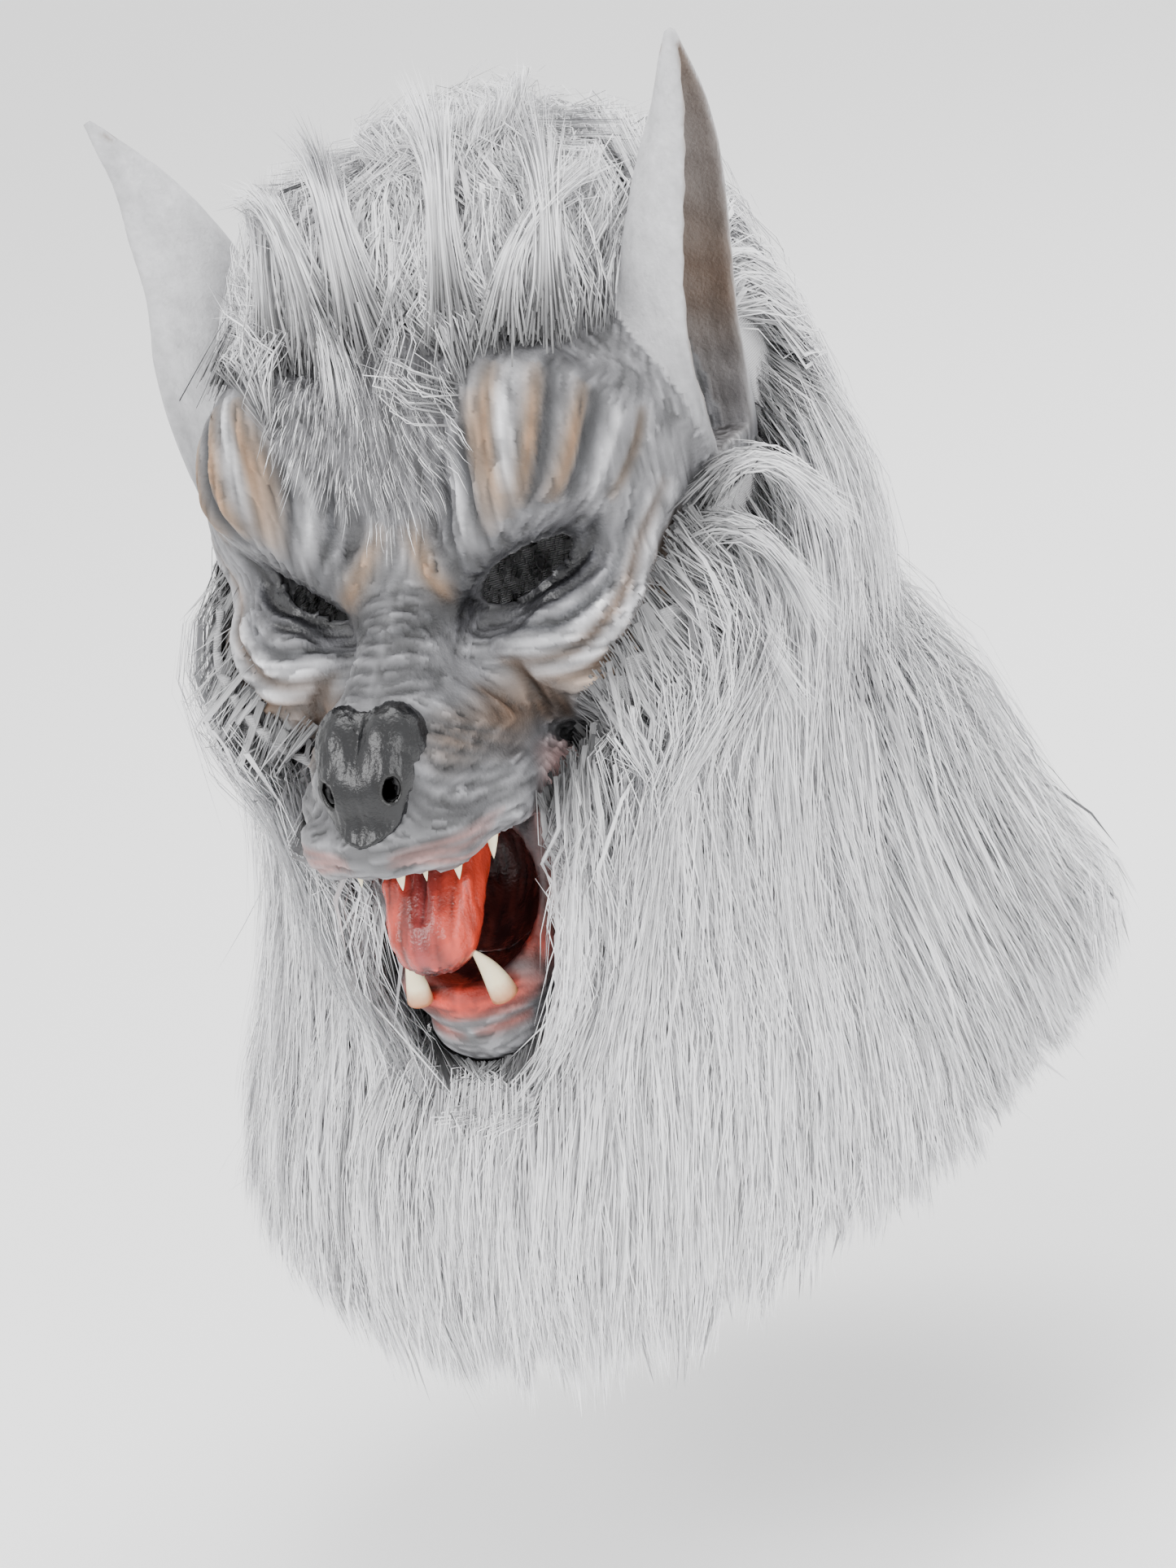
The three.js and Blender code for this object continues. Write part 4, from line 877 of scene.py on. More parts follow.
def make_tongue():
    points, faces = field_mesh(tongue_field, (-24, -150, -236), (24, -70, -176), TONGUE_CELL)
    normals, _ = slope_of(tongue_field, points)
    rng = np.random.default_rng(22)
    flow = np.tile((0.0, -0.6, -0.8), (len(points), 1))
    streak = comb(rng.normal(0, 1, len(points)), points, edge_pairs(faces), flow, 16)
    across = np.clip(np.abs(points[:, 0]) / 12, 0, 1)[:, None]
    paint = np.array(TONGUE_RED) * across + np.array(TONGUE_DULL) * (1 - across)
    paint = paint * (1 + 0.13 * streak[:, None])
    tip = np.clip(1 - np.abs(points[:, 2] + 226) / 6, 0, 1)[:, None]
    paint = np.clip(paint * (1 - 0.5 * tip), 0, 1)
    material = latex_material("tongue_latex", 0.32, 0.2, 0.5)
    moved = points + normals * (0.16 * streak)[:, None]
    tongue = make_object("tongue_slab", moved, faces, [material], paint, np.ones(len(points)))
    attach(tongue, "root")
    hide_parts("tongue")


make_tongue()


# Teeth
# Ivory teeth of hard painted latex: two lower fangs that lean together and five small pegs
# under the upper lip. Each is a bent cone, browner at its root.
TEETH = [
    # CAD node, root, tip, radius, bend
    ("fang_lower_left", (15, -123.4, -240), (11.0, -131.5, -220.5), 4.9, 1.6),
    ("fang_lower_right", (-15, -123.4, -240), (-12.6, -130.5, -221), 4.4, 1.2),
    ("tooth_upper_1", (-11, -149, -180), (-11, -150.6, -190.5), 2.2, 0.2),
    ("tooth_upper_2", (3.6, -151, -180), (3.6, -152, -192), 3.0, 0.3),
    ("tooth_upper_3", (11, -148, -180), (11, -149.2, -190.5), 2.2, 0.2),
    ("tooth_upper_4", (19.4, -142, -180), (19, -143, -193), 3.2, 0.4),
    ("tooth_upper_5", (27, -129, -178), (26, -130.6, -191.5), 3.0, 0.4),
]
TOOTH_RINGS, TOOTH_SIDES = 14, 18
IVORY, TOOTH_ROOT = (0.93, 0.88, 0.74), (0.66, 0.42, 0.28)


def tooth_material():
    material, nodes, links, shader = new_material("ivory")
    shader.inputs["Roughness"].default_value = 0.32
    shader.inputs["Subsurface Weight"].default_value = 0.15
    shader.inputs["Subsurface Scale"].default_value = 0.002
    paint = nodes.new("ShaderNodeAttribute")
    paint.attribute_name = "paint"
    place = nodes.new("ShaderNodeTexCoord")
    stain = add_node(nodes, "ShaderNodeTexNoise", Scale=420.0)
    links.new(place.outputs["Object"], stain.inputs["Vector"])
    colours = (paint.outputs["Color"], stain.outputs["Fac"])
    stained = mix_colours(nodes, links, "SOFT_LIGHT", 0.35, *colours)
    links.new(stained, shader.inputs["Base Color"])
    add_bump(nodes, links, shader, stain.outputs["Fac"], 0.2, 0.0005)
    return material


def make_tooth(node, root, tip, radius, bend, material):
    root, tip = np.array(root, float), np.array(tip, float)
    axis = (tip - root) / np.linalg.norm(tip - root)
    side = np.cross(axis, (0, 1, 0))
    side /= np.linalg.norm(side)
    front = np.cross(side, axis)
    points, shares = [], []
    for share in np.linspace(0, 1, TOOTH_RINGS):
        centre = root + (tip - root) * share + front * bend * np.sin(np.pi * share)
        reach = radius * max(1 - share**1.25, 0.0) ** 0.85 + 0.04
        for k in range(TOOTH_SIDES):
            angle = 2 * np.pi * k / TOOTH_SIDES
            points.append(centre + reach * (np.cos(angle) * side + 0.85 * np.sin(angle) * front))
            shares.append(share)
    faces = [tuple(range(TOOTH_SIDES))[::-1]]
    for r in range(TOOTH_RINGS - 1):
        for k in range(TOOTH_SIDES):
            a, b = r * TOOTH_SIDES + k, r * TOOTH_SIDES + (k + 1) % TOOTH_SIDES
            faces.append((a, b, b + TOOTH_SIDES, a + TOOTH_SIDES))
    last = (TOOTH_RINGS - 1) * TOOTH_SIDES
    faces.append(tuple(range(last, last + TOOTH_SIDES)))
    rooted = np.clip(1 - np.array(shares) * 3.2, 0, 1)[:, None]
    paint = np.array(IVORY) * (1 - rooted) + np.array(TOOTH_ROOT) * rooted
    tooth = make_object(node + "_ivory", points, faces, [material], paint)
    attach(tooth, "root")
    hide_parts(node)


ivory = tooth_material()
for row in TEETH:
    make_tooth(*row, ivory)


# Hood
# The knitted backing of the fur, a cap and cape in one that is glued to the latex along the
# face edge. It shows only from inside and below. It stands a little off the latex.
CLOTH_INSIDE, CLOTH_OUTSIDE = 3.0, 5.5
HEM = -318
CLOTH_CELL = 5.5
CLOTH_COLOURS = ((0.36, 0.36, 0.37, 1.0), (0.48, 0.48, 0.49, 1.0))


def hood_faces(points, faces):
    """Faces that the cloth keeps: not in the opening, in an ear or below the hem."""
    shut = inside_opening(points, 9, 0) | (points[:, 2] < HEM)
    shut |= at_hairline(points, 72, -40, -12)
    for side in (1, -1):
        outside, _ = ear_fields(points, side)
        shut |= outside < 1.0
    return [not any(shut[v] for v in face) for face in faces]


def cloth_material():
    material, nodes, links, shader = new_material("knitted_backing")
    shader.inputs["Roughness"].default_value = 0.92
    place = nodes.new("ShaderNodeTexCoord")
    rows = add_node(nodes, "ShaderNodeTexWave", Scale=420.0, Distortion=1.5, Detail=2.0)
    rows.wave_type = "BANDS"
    rows.bands_direction = "Z"
    links.new(place.outputs["Object"], rows.inputs["Vector"])
    colour = nodes.new("ShaderNodeValToRGB")
    for stop, shade in zip(colour.color_ramp.elements, CLOTH_COLOURS):
        stop.color = shade
    links.new(rows.outputs["Fac"], colour.inputs["Fac"])
    links.new(colour.outputs["Color"], shader.inputs["Base Color"])
    add_bump(nodes, links, shader, rows.outputs["Fac"], 0.5, 0.0008)
    return material


def make_hood():
    low, high = (-136, -138, -326), (136, 138, 12)
    points, faces = field_mesh(lambda p: skin_field(p) - CLOTH_OUTSIDE, low, high, CLOTH_CELL)
    points, faces, _ = part_of(points, faces, hood_faces(points, faces))
    hood = make_object("hood_cloth", points, faces, [cloth_material()])
    add_wall(hood, CLOTH_OUTSIDE - CLOTH_INSIDE)
    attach(hood, "root")
    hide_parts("hood")


make_hood()


# Fur: crown, sides, back and beard
# Long-pile artificial fur, white with grey roots, in five panels on the cloth; the roots are
# darkened past their grey as painted shade deep in the pile. Every strand is a narrow tapered
# ribbon; strands gather in locks over broader strips of pile. The crown sweeps up and back, the
# rest hangs, and a short grey tuft lies between the brows.
# Straight down, for the mask as it leans.
DOWN = np.array([-0.08, -0.354, -0.932])
PILE_DEPTH = [
    # height, depth at the front, at the side and at the back
    (-400, 3, 4, 4),
    (-348, 12, 15, 16),
    (-318, 17, 25, 30),
    (-300, 18, 30, 36),
    (-262, 17, 35, 39),
    (-205, 15, 39, 37),
    (-145, 14, 40, 34),
    (-80, 12, 30, 32),
    (-30, 18, 24, 28),
    (8, 29, 29, 30),
]
TIP_HEIGHTS = [
    # angle from the front, height of the longest tips
    (0, -392),
    (25, -386),
    (50, -360),
    (90, -338),
    (180, -342),
]
CROWN_EDGE = [
    # angle from the front, lower edge of the crown fur
    (0, -92),
    (8, -82),
    (15, -68),
    (22, -58),
    (40, -57),
    (60, -58),
    (85, -64),
    (110, -72),
    (180, -74),
]
SIDE_TOP = [
    # angle from the front, upper edge of the side fur, under and behind the ear
    (0, -104),
    (80, -104),
    (100, -72),
    (180, -72),
]
BACK_SEAM, BEARD_SEAM, BEARD_TOP = 125, 20, -255
# Places and brightness of the colour stops of the fur, the two ends first.
# Root to tip: the near-black root end is painted shade deep in the pile, over the fibre's grey root.
ROOT_SHADE_TO_TIP = ((0.0, 0.14), (1.0, 0.98), (0.10, 0.36), (0.26, 0.78), (0.5, 0.94))
WHITE_TO_GREY = ((0.72, 1.0), (1.0, 0.22), (0.76, 0.5))
FIBRE_LINES = ((0.32, 0.48), (0.60, 1.0), (0.45, 0.88))
WHITE_TONES, GREY_TONES = (0.02, 0.70), (0.77, 0.97)
RAY_STEP = 4.0
RAY_ANGLES = np.arange(0, 360, RAY_STEP)
EQUATOR, CROWN_TOP = -70, -2.6
RAY_HEIGHTS = np.concatenate([np.arange(HEM, EQUATOR, 8.0), np.linspace(EQUATOR, CROWN_TOP, 16)])
ROOT_DEPTH = 1.2


def rays(angle, height):
    """Start and direction of a ray through the hood: level low down, fanning out at the crown."""
    tilt = np.radians(90 * np.clip((height - EQUATOR) / (CROWN_TOP - EQUATOR), 0, 1))
    turn = np.radians(angle)
    way = np.stack([np.sin(turn) * np.cos(tilt), -np.cos(turn) * np.cos(tilt), np.sin(tilt)], axis=-1)
    start = np.stack([0 * tilt, 0 * tilt, np.minimum(height, EQUATOR)], axis=-1)
    return start, way


def cloth_points(angle, height):
    """Where rays meet the outside of the cloth."""
    start, way = rays(angle, height)
    near, far = np.full(len(angle), 20.0), np.full(len(angle), 190.0)
    for _ in range(18):
        middle = (near + far) / 2
        outside = skin_field(start + way * middle[:, None]) > CLOTH_OUTSIDE
        far = np.where(outside, middle, far)
        near = np.where(outside, near, middle)
    return start + way * near[:, None]


def root_places(rng, count, region):
    """Roots spread evenly over the part of the cloth that a region's test keeps."""
    angles, heights = np.meshgrid(RAY_ANGLES, RAY_HEIGHTS, indexing="ij")
    grid = cloth_points(angles.ravel(), heights.ravel()).reshape(*angles.shape, 3)
    grid = np.concatenate([grid, grid[:1]], axis=0)
    side_a = grid[1:, :-1] - grid[:-1, :-1]
    side_b = grid[:-1, 1:] - grid[:-1, :-1]
    area = np.linalg.norm(np.cross(side_a, side_b), axis=-1)
    rows, columns = np.nonzero(area > 0)
    found = [np.zeros((0, 3)), np.zeros(0), np.zeros(0)]
    weight = area[rows, columns] / area[rows, columns].sum()
    while len(found[1]) < count:
        chosen = rng.choice(len(rows), count, p=weight)
        u, v = rng.random((2, count, 1))
        r, c = rows[chosen], columns[chosen]
        top = grid[r, c] * (1 - u) + grid[r + 1, c] * u
        bottom = grid[r, c + 1] * (1 - u) + grid[r + 1, c + 1] * u
        points = top * (1 - v) + bottom * v
        angle = RAY_ANGLES[r] + RAY_STEP * u[:, 0]
        height = RAY_HEIGHTS[c] * (1 - v[:, 0]) + RAY_HEIGHTS[c + 1] * v[:, 0]
        keep = rng.random(count) < region(angle, height, points)
        fresh = [points[keep], angle[keep], height[keep]]
        found = [np.concatenate([old, new]) for old, new in zip(found, fresh)]
    return [column[:count] for column in found]


def from_front(angle):
    return np.abs((np.asarray(angle) + 180) % 360 - 180)


def pile_depth(points):
    angle = from_front(np.degrees(np.arctan2(points[:, 0], -points[:, 1])))
    front, side, back = (along(PILE_DEPTH, points[:, 2], k) for k in (1, 2, 3))
    ahead = front + (side - front) * np.sin(np.radians(np.minimum(angle, 90)))
    behind = side + (back - side) * np.clip((angle - 90) / 90, 0, 1)
    return np.where(angle < 90, ahead, behind)


def grow(roots, lengths, depth_share, lean, rise_rate, waves, phase):
    """Points of each strand: it rises out of the cloth to its depth and follows its lean."""
    count, steps = len(roots), STRAND_STEPS
    path = np.zeros((count, steps + 1, 3))
    outward = np.zeros((count, steps + 1, 3))
    place = roots.copy()
    for k in range(steps + 1):
        normal, gap = slope_of(skin_field, place)
        share = k / steps
        rise = 1 - np.exp(-rise_rate * share)
        wanted = CLOTH_OUTSIDE + pile_depth(place) * depth_share * rise if k else ROOT_DEPTH
        place = place + normal * (wanted - gap)[:, None]
        path[:, k] = place
        outward[:, k] = normal
        way = lean(place, share)
        way = way - normal * np.einsum("ij,ij->i", way, normal)[:, None]
        way /= np.linalg.norm(way, axis=1)[:, None] + 1e-9
        cross = np.cross(normal, way)
        swing = waves * np.cos(2 * np.pi * share * 1.1 + phase)
        way = way + cross * swing[:, None]
        way /= np.linalg.norm(way, axis=1)[:, None]
        place = place + way * (lengths / steps)[:, None]
    return path, outward


def nearest_seed(points, seeds):
    tree = KDTree(len(seeds))
    for i, seed in enumerate(seeds):
        tree.insert(seed, i)
    tree.balance()
    return np.array([tree.find(p)[1] for p in points])


def ribbons(name, path, outward, width, tone, spread, rng, material):
    """Tapered ribbons along the strands as one mesh, shaded like the pile that they lie in."""
    count, rows = path.shape[0], path.shape[1]
    run = np.gradient(path, axis=1)
    run /= np.linalg.norm(run, axis=2, keepdims=True) + 1e-9
    side = np.cross(run, outward)
    side /= np.linalg.norm(side, axis=2, keepdims=True) + 1e-9
    twist = rng.normal(0, 0.4, (count, 1, 1))
    lift = np.cross(side, run)
    side = side * np.cos(twist) + lift * np.sin(twist)
    share = np.linspace(0, 1, rows)[None, :, None]
    half = width[:, None, None] / 2 * (1 - 0.55 * share**2)
    left, right = path - side * half, path + side * half
    per = 2 * (rows - 1) + 1
    points = np.zeros((count, per, 3))
    points[:, 0:-1:2] = left[:, :-1]
    points[:, 1:-1:2] = right[:, :-1]
    points[:, -1] = path[:, -1]
    quads = np.array([(2 * k, 2 * k + 1, 2 * k + 3, 2 * k + 2) for k in range(rows - 2)])
    tip = np.array([per - 3, per - 2, per - 1])
    first = np.arange(count)[:, None] * per
    loops = np.concatenate([first + quads.ravel(), first + tip], axis=1)
    opens = np.arange(rows - 1) * 4 + np.arange(count)[:, None] * loops.shape[1]
    mesh = bpy.data.meshes.new(name)
    mesh.vertices.add(count * per)
    mesh.vertices.foreach_set("co", (points * MILLIMETRE).astype(np.float32).ravel())
    mesh.loops.add(loops.size)
    mesh.loops.foreach_set("vertex_index", loops.astype(np.int32).ravel())
    mesh.polygons.add(opens.size)
    mesh.polygons.foreach_set("loop_start", opens.astype(np.int32).ravel())
    mesh.update(calc_edges=True)
    mesh.polygons.foreach_set("use_smooth", np.ones(len(mesh.polygons), bool))
    u = np.repeat(tone, per).reshape(count, per)
    u[:, 0:-1:2] -= spread[:, None] / 2
    u[:, 1:-1:2] += spread[:, None] / 2
    level = np.zeros(per)
    level[0:-1:2] = level[1:-1:2] = np.linspace(0, 1, rows)[:-1]
    level[-1] = 1
    uv = np.stack([u, np.tile(level, (count, 1))], axis=-1).reshape(-1, 2)
    layer = mesh.uv_layers.new(name="OFBake")
    layer.data.foreach_set("uv", uv[loops.ravel()].astype(np.float32).ravel())
    soft = outward + 0.5 * lift + rng.normal(0, 0.2, (count, 1, 3))
    soft /= np.linalg.norm(soft, axis=2, keepdims=True)
    normals = np.zeros((count, per, 3))
    normals[:, 0:-1:2] = normals[:, 1:-1:2] = soft[:, :-1]
    normals[:, -1] = soft[:, -1]
    mesh.normals_split_custom_set_from_vertices(normals.reshape(-1, 3).tolist())
    mesh.materials.append(material)
    made = bpy.data.objects.new(name, mesh)
    bpy.context.scene.collection.objects.link(made)
    return made


def fur_material():
    """White fibre with a grey root, darkened further by painted shade deep in the pile: fine lines across
    the map, root to tip up the map.
    """
    material, nodes, links, shader = new_material("long_pile_fur")
    shader.inputs["Roughness"].default_value = 0.5
    shader.inputs["Specular IOR Level"].default_value = 0.3
    chart = nodes.new("ShaderNodeUVMap")
    chart.uv_map = "OFBake"
    split = nodes.new("ShaderNodeSeparateXYZ")
    links.new(chart.outputs["UV"], split.inputs["Vector"])

    def ramp(source, stops):
        node = nodes.new("ShaderNodeValToRGB")
        for k, (position, level) in enumerate(stops):
            stop = node.color_ramp.elements[k] if k < 2 else node.color_ramp.elements.new(position)
            stop.position = position
            stop.color = (level, level, min(level * 1.012, 1.0), 1.0)
        links.new(source, node.inputs["Fac"])
        return node.outputs["Color"]

    def times(a, b):
        return mix_colours(nodes, links, "MULTIPLY", 1.0, a, b)

    stretch = add_node(nodes, "ShaderNodeMapping", Scale=(900.0, 3.0, 1.0))
    links.new(chart.outputs["UV"], stretch.inputs["Vector"])
    fibres = add_node(nodes, "ShaderNodeTexNoise", Scale=1.0, Detail=1.0)
    links.new(stretch.outputs["Vector"], fibres.inputs["Vector"])
    # Painted shade at the root, deep in the pile, brightening to the white tip.
    length = ramp(split.outputs["Y"], ROOT_SHADE_TO_TIP)
    tone = ramp(split.outputs["X"], WHITE_TO_GREY)
    line = ramp(fibres.outputs["Fac"], FIBRE_LINES)
    links.new(times(times(length, tone), line), shader.inputs["Base Color"])
    return material


def blocked(points, opening=True):
    """Places where no fur is rooted: the ears and, below the crown, the face opening."""
    shut = inside_opening(points, -2, -6) & opening
    for side in (1, -1):
        outside, _ = ear_fields(points, side)
        shut |= outside < (3 if opening else 1)
    return shut


def in_tuft(points):
    """The short hair between the brows."""
    return (points[:, 2] < -38) & (points[:, 1] < -60) & (np.abs(points[:, 0]) < 30)


def crown_region(angle, height, points):
    edge = np.interp(from_front(angle), *np.array(CROWN_EDGE, float).T)
    tuft = (from_front(angle) < 20) & in_tuft(points)
    return (height > edge) * np.where(tuft, 0.4, ~blocked(points, False) * 1.0)


def side_region(sign):
    def region(angle, height, points):
        turned = from_front(angle)
        edge = np.interp(turned, *np.array(SIDE_TOP, float).T)
        own = np.sign(np.sin(np.radians(angle))) == sign
        inside = own & (turned > BEARD_SEAM) & (turned < BACK_SEAM) & (height < edge)
        return (inside & ~blocked(points)).astype(float)

    return region


def back_region(angle, height, points):
    edge = np.interp(from_front(angle), *np.array(CROWN_EDGE, float).T)
    return ((from_front(angle) >= BACK_SEAM) & (height < edge)).astype(float)


def beard_region(angle, height, points):
    inside = (from_front(angle) <= BEARD_SEAM) & (height < BEARD_TOP)
    return (inside & ~blocked(points)).astype(float)


def hang(points, share):
    """Hanging fur falls straight as the mask leans, off the face first and wider low down."""
    outward = np.clip(points[:, 0] / 40, -1, 1)
    sideways = np.stack([outward, np.full(len(points), 0.25), np.zeros(len(points))], axis=1)
    near_face = np.clip((-points[:, 1] - 20) / 50, 0, 1) * np.clip((points[:, 2] + 300) / 100, 0, 1)
    low = np.clip((-180 - points[:, 2]) / 80, 0, 1) * np.clip((points[:, 1] + 70) / 60, 0, 1)
    amount = 0.7 * near_face * (1 - share) ** 2 + 0.6 * low * (points[:, 0] > 0)
    return DOWN + sideways * amount[:, None]


def sweep(points, share):
    """Crown fur sweeps up and back, and falls behind the ears and down the nape."""
    back = np.array([-0.42, 0.85, 0.62])
    over = np.array([-0.10, 0.45, -0.85])
    fall = np.clip((points[:, 1] - 15) / 60 + np.clip((-25 - points[:, 2]) / 60, 0, 1), 0, 1)
    fall = np.where(points[:, 1] < -20, 0, fall)[:, None]
    return back * (1 - fall) + over * fall


def tuft_fall(points, share):
    """The short hair between the brows points down."""
    level = np.ones(len(points))
    return np.stack([points[:, 0] / 60, -0.4 * level, -level], axis=1)


def off_the_face(path, rng):
    """Hanging strands that would cross the face are laid along its edge."""
    half = np.interp(path[..., 2], *np.array(HOOD_OPENING, float).T)
    across = np.abs(path[..., 0])
    over = (across < half) & (path[..., 1] < -20) & (path[..., 2] < -100) & (path[..., 2] > -262)
    laid = half + rng.uniform(1, 7, path.shape[0])[:, None] - 0.06 * (half - across)
    laid = laid - 12 * (path[..., 0] < 0)
    laid = laid + 5 * (path[..., 0] > 0) * np.clip((-130 - path[..., 2]) / 25, 0, 1)
    path[..., 0] = np.where(over, np.sign(path[..., 0]) * laid, path[..., 0])
    return path


def clear_of_ears(path):
    """Strands that run through an ear are left out."""
    clear = np.ones(len(path), bool)
    for side in (1, -1):
        for k in range(1, path.shape[1]):
            outside, _ = ear_fields(path[:, k], side)
            clear &= outside > -0.5
    return clear


FUR_PANELS = [
    # CAD node, region, lean, strands, strips, locks, shortest and longest strand, waviness, seed
    ("fur_crown", crown_region, sweep, 24500, 2800, 190, (60, 125), 0.75, 31),
    ("fur_side_left", side_region(1), hang, 24500, 2800, 420, (55, 150), 0.15, 32),
    ("fur_side_right", side_region(-1), hang, 13500, 2300, 380, (55, 150), 0.15, 33),
    ("fur_back", back_region, hang, 11500, 2300, 380, (60, 150), 0.15, 34),
    ("fur_beard", beard_region, hang, 7000, 900, 110, (55, 120), 0.13, 35),
]
STRAND_WIDTH, STRIP_WIDTH = 0.44, 2.3
STRAND_STEPS = 4
FUR_REACH = (164, 173, 60)
TUFT_LENGTHS = (7, 15)
LONGEST_STEP = 46
STRAY_SHARE = 0.07


def trim_crown(rng, roots, angle, height, lengths, layer):
    """Crown fur is shorter at the hairline and very short between the brows."""
    tuft = in_tuft(roots)
    hairline = height - np.interp(from_front(angle), *np.array(CROWN_EDGE, float).T)
    short = np.clip(1 - hairline / 16, 0, 1) * (from_front(angle) < 75)
    lengths = lengths * (1 - 0.45 * short)
    layer = layer * 1.05 * (1 - 0.35 * short)
    lengths = np.where(tuft, rng.uniform(*TUFT_LENGTHS, len(roots)), lengths)
    layer = np.where(tuft, -0.2, layer)
    return tuft, short, lengths, layer


def trim_hanging(rng, node, roots, angle, height, lengths, layer, lock, locks):
    """Hanging fur ends at the line of tips, and stands out at the left side and the chin."""
    count = len(roots)
    longest = np.interp(from_front(angle), *np.array(TIP_HEIGHTS, float).T)
    room = (height - longest) / 0.93 * rng.uniform(0.74, 1.04, locks)[lock]
    lengths = np.minimum(lengths, np.maximum(room * rng.uniform(0.7, 1.03, count), 12))
    flare = np.clip((roots[:, 0] - 5) / 45, 0, 1) * np.clip((roots[:, 1] + 25) / 45, 0, 1)
    level = np.clip((-128 - roots[:, 2]) / 30, 0, 1) * np.clip((roots[:, 2] + 330) / 60, 0.3, 1)
    flare *= level
    layer = layer * (1 - 0.6 * flare) + flare * rng.uniform(0.7, 1.75, count)
    chin = (node == "fur_beard") * np.clip((roots[:, 2] + 300) / 30, 0, 1)
    return lengths, layer * (1 + 0.7 * chin)


def gather_locks(rng, path, lock, locks, loose, gather):
    """Pulls strands towards the middle of their lock, more so at the tips, and frays them."""
    count = len(path)
    guide = np.zeros((locks, STRAND_STEPS + 1, 3))
    members = np.bincount(lock[~loose], minlength=locks)
    np.add.at(guide, lock[~loose], path[~loose])
    guide /= np.maximum(members, 1)[:, None, None]
    share = np.linspace(0, 1, STRAND_STEPS + 1)[None, :, None]
    pull = gather * share**1.4 * rng.uniform(0.5, 1.0, count)[:, None, None]
    pull = np.where(loose[:, None, None], 0, pull)
    path = path * (1 - pull) + guide[lock] * pull
    stray = (rng.random(count) < np.where(loose, 0, STRAY_SHARE))[:, None, None]
    wander = np.where(stray, 4.5, 1.1) * np.where(loose, 0.5, 1.0)[:, None, None]
    path = path + rng.normal(0, 1, (count, 1, 3)) * share**2 * wander
    return np.minimum(path, FUR_REACH)


def make_fur(node, region, lean, strands, strips, locks, reach, waviness, seed, material):
    rng = np.random.default_rng(seed)
    count = strands + strips
    crown = node == "fur_crown"
    roots, angle, height = root_places(rng, count, region)
    broad = np.arange(count) < strips
    lock = nearest_seed(roots, roots[rng.choice(count, locks, replace=False)])
    lengths = rng.uniform(*reach, count) * rng.uniform(0.78, 1.12, locks)[lock]
    layer = rng.beta(2.0, 1.3, count) * rng.uniform(0.75, 1.05, locks)[lock]
    layer = np.where(broad, layer * 0.75, layer)
    tuft, short = np.zeros(count, bool), np.zeros(count)
    placed = (roots, angle, height, lengths, layer)
    if crown:
        tuft, short, lengths, layer = trim_crown(rng, *placed)
    else:
        lengths, layer = trim_hanging(rng, node, *placed, lock, locks)
    broad &= ~tuft & (short < 0.3)
    swing = rng.normal(0, waviness, locks)[lock] + rng.normal(0, waviness * 0.3, count)
    swing = np.where(tuft, swing * 0.25, swing)
    phase = rng.uniform(0, 6.28, locks)[lock] + rng.normal(0, 0.3, count)
    rise_rate = 2.0 if crown else 3.2
    path, outward = grow(roots, lengths, layer, lean, rise_rate, swing, phase)
    if tuft.any():
        own = (roots[tuft], lengths[tuft], layer[tuft], tuft_fall, rise_rate, swing[tuft], phase[tuft])
        path[tuft], outward[tuft] = grow(*own)
    path = gather_locks(rng, path, lock, locks, tuft, 0.82 if crown else 0.6)
    if node.startswith("fur_side"):
        path = off_the_face(path, rng)
    tone = rng.uniform(*WHITE_TONES, count)
    grey = rng.random(count) < np.where(tuft, 0.75, 0.10 + 0.35 * short)
    tone = np.where(grey, rng.uniform(*GREY_TONES, count), tone)
    spread = np.where(broad, 0.014, 0.0)
    width = np.where(broad, STRIP_WIDTH, STRAND_WIDTH) * rng.uniform(0.6, 1.15, count)
    width = np.where(tuft, width * 0.6, width)
    longest_step = np.linalg.norm(np.diff(path, axis=1), axis=2).max(axis=1)
    keep = clear_of_ears(path) & (longest_step < LONGEST_STEP)
    strand = (path[keep], outward[keep], width[keep], tone[keep], spread[keep])
    piece = ribbons(node + "_strands", *strand, rng, material)
    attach(piece, "root")
    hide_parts(node)


FORELOCKS = [
    # root, places that the lock passes, tip
    ((-56, -80, -48), (-63, -56, -38), (-56, -42, -24), (-32, -58, -16),
     (-14, -78, -24), (-8, -90, -42), (-7, -93, -58)),
    ((47, -85, -42), (45, -62, -18), (52, -34, -4), (62, -8, -2)),
    ((-30, -83, -42), (-38, -66, -14), (-48, -36, 4), (-60, -6, 8)),
    ((-14, -86, -40), (-24, -70, -6), (-44, -44, 10), (-66, -18, 2)),
    ((2, -86, -40), (-8, -70, -6), (-24, -38, 18), (-46, -4, 26)),
    ((30, -85, -42), (26, -68, -10), (16, -34, 16), (-4, 0, 34)),
    ((58, -78, -44), (56, -60, -22), (50, -34, 0), (34, -2, 22)),
    ((84, -52, -106), (97, -46, -94), (110, -34, -100), (120, -22, -132)),
    ((80, -60, -118), (93, -58, -110), (106, -48, -122), (114, -40, -160)),
    ((76, -66, -130), (88, -66, -126), (98, -58, -144), (102, -52, -182)),
]
FORELOCK_STRANDS, FORELOCK_STEPS, FORELOCK_WIDTH = 240, 6, 11


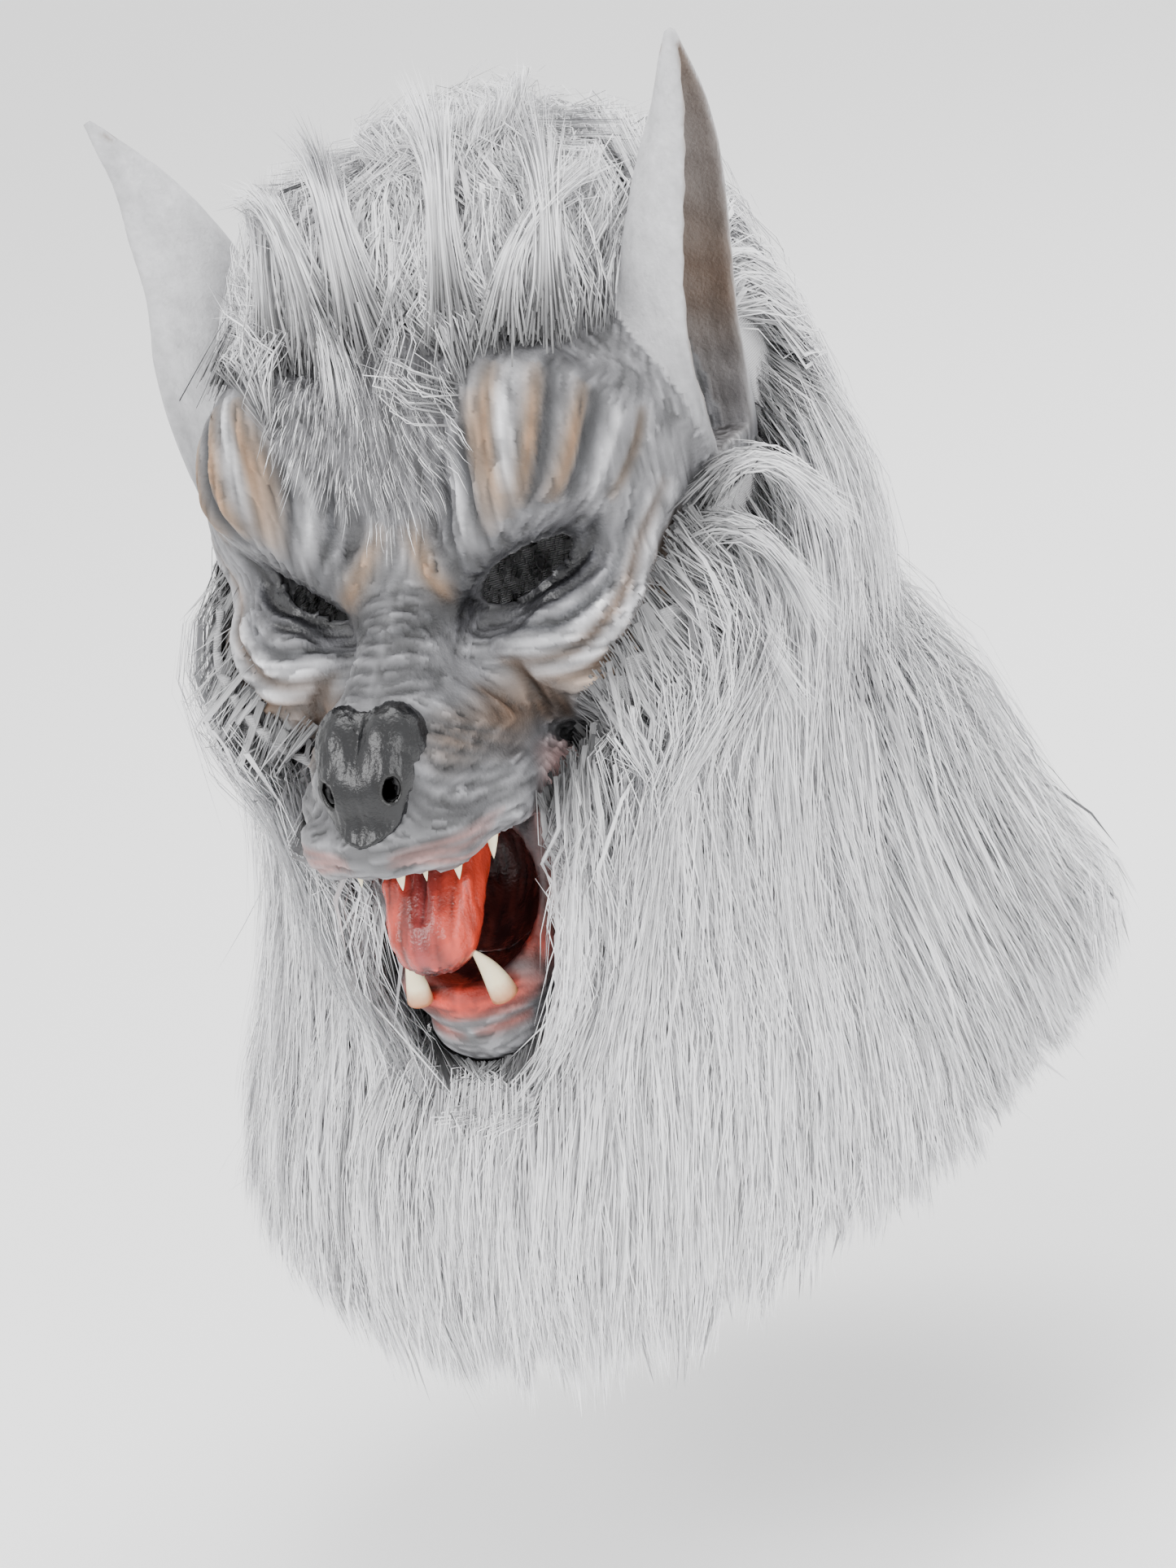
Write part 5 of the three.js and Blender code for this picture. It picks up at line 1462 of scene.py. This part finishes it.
def smooth_line(places, rounds=3):
    line = np.array(places, float)
    for _ in range(rounds):
        ahead = line[:-1] * 0.75 + line[1:] * 0.25
        behind = line[:-1] * 0.25 + line[1:] * 0.75
        middle = np.stack([ahead, behind], axis=1).reshape(-1, 3)
        line = np.concatenate([line[:1], middle, line[-1:]])
    return line


def make_forelocks(material):
    """The long wavy locks over the brow and the tufts at the foot of the left ear."""
    rng = np.random.default_rng(41)
    bundles = []
    for places in FORELOCKS:
        line = smooth_line(places)
        run = np.concatenate([[0], np.cumsum(np.linalg.norm(np.diff(line, axis=0), axis=1))])
        start = rng.uniform(0, 0.18, FORELOCK_STRANDS)
        end = rng.uniform(0.72, 1.0, FORELOCK_STRANDS)
        share = np.linspace(0, 1, FORELOCK_STEPS + 1)
        at = (start[:, None] + (end - start)[:, None] * share) * run[-1]
        path = np.stack([np.interp(at, run, line[:, k]) for k in range(3)], axis=-1)
        offset = rng.normal(0, FORELOCK_WIDTH / 2.4, (FORELOCK_STRANDS, 1, 3))
        offset[..., 2] *= 0.6
        narrow = 1 - 0.55 * np.sin(np.pi * np.clip(share, 0, 1)) ** 0.7
        fray = rng.normal(0, 2.2, (FORELOCK_STRANDS, 1, 3)) * share[None, :, None] ** 3
        bundles.append(path + offset * narrow[None, :, None] + fray)
    path = np.concatenate(bundles)
    normal, gap = slope_of(skin_field, path.reshape(-1, 3))
    low = np.maximum(7.0 - gap, 0).reshape(path.shape[:2])
    low[:, 0] *= 0.4
    normal = normal.reshape(path.shape)
    path = path + normal * low[..., None]
    count = len(path)
    width = rng.uniform(0.32, 0.6, count)
    grey = rng.random(count) < 0.12
    tone = np.where(grey, rng.uniform(*GREY_TONES, count), rng.uniform(*WHITE_TONES, count))
    keep = clear_of_ears(path)
    strand = (path[keep], normal[keep], width[keep], tone[keep], np.zeros(int(keep.sum())))
    piece = ribbons("forelock_strands", *strand, rng, material)
    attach(piece, "root")
    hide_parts("fur_crown")


fur = fur_material()
make_forelocks(fur)
for row in FUR_PANELS:
    make_fur(*row, fur)
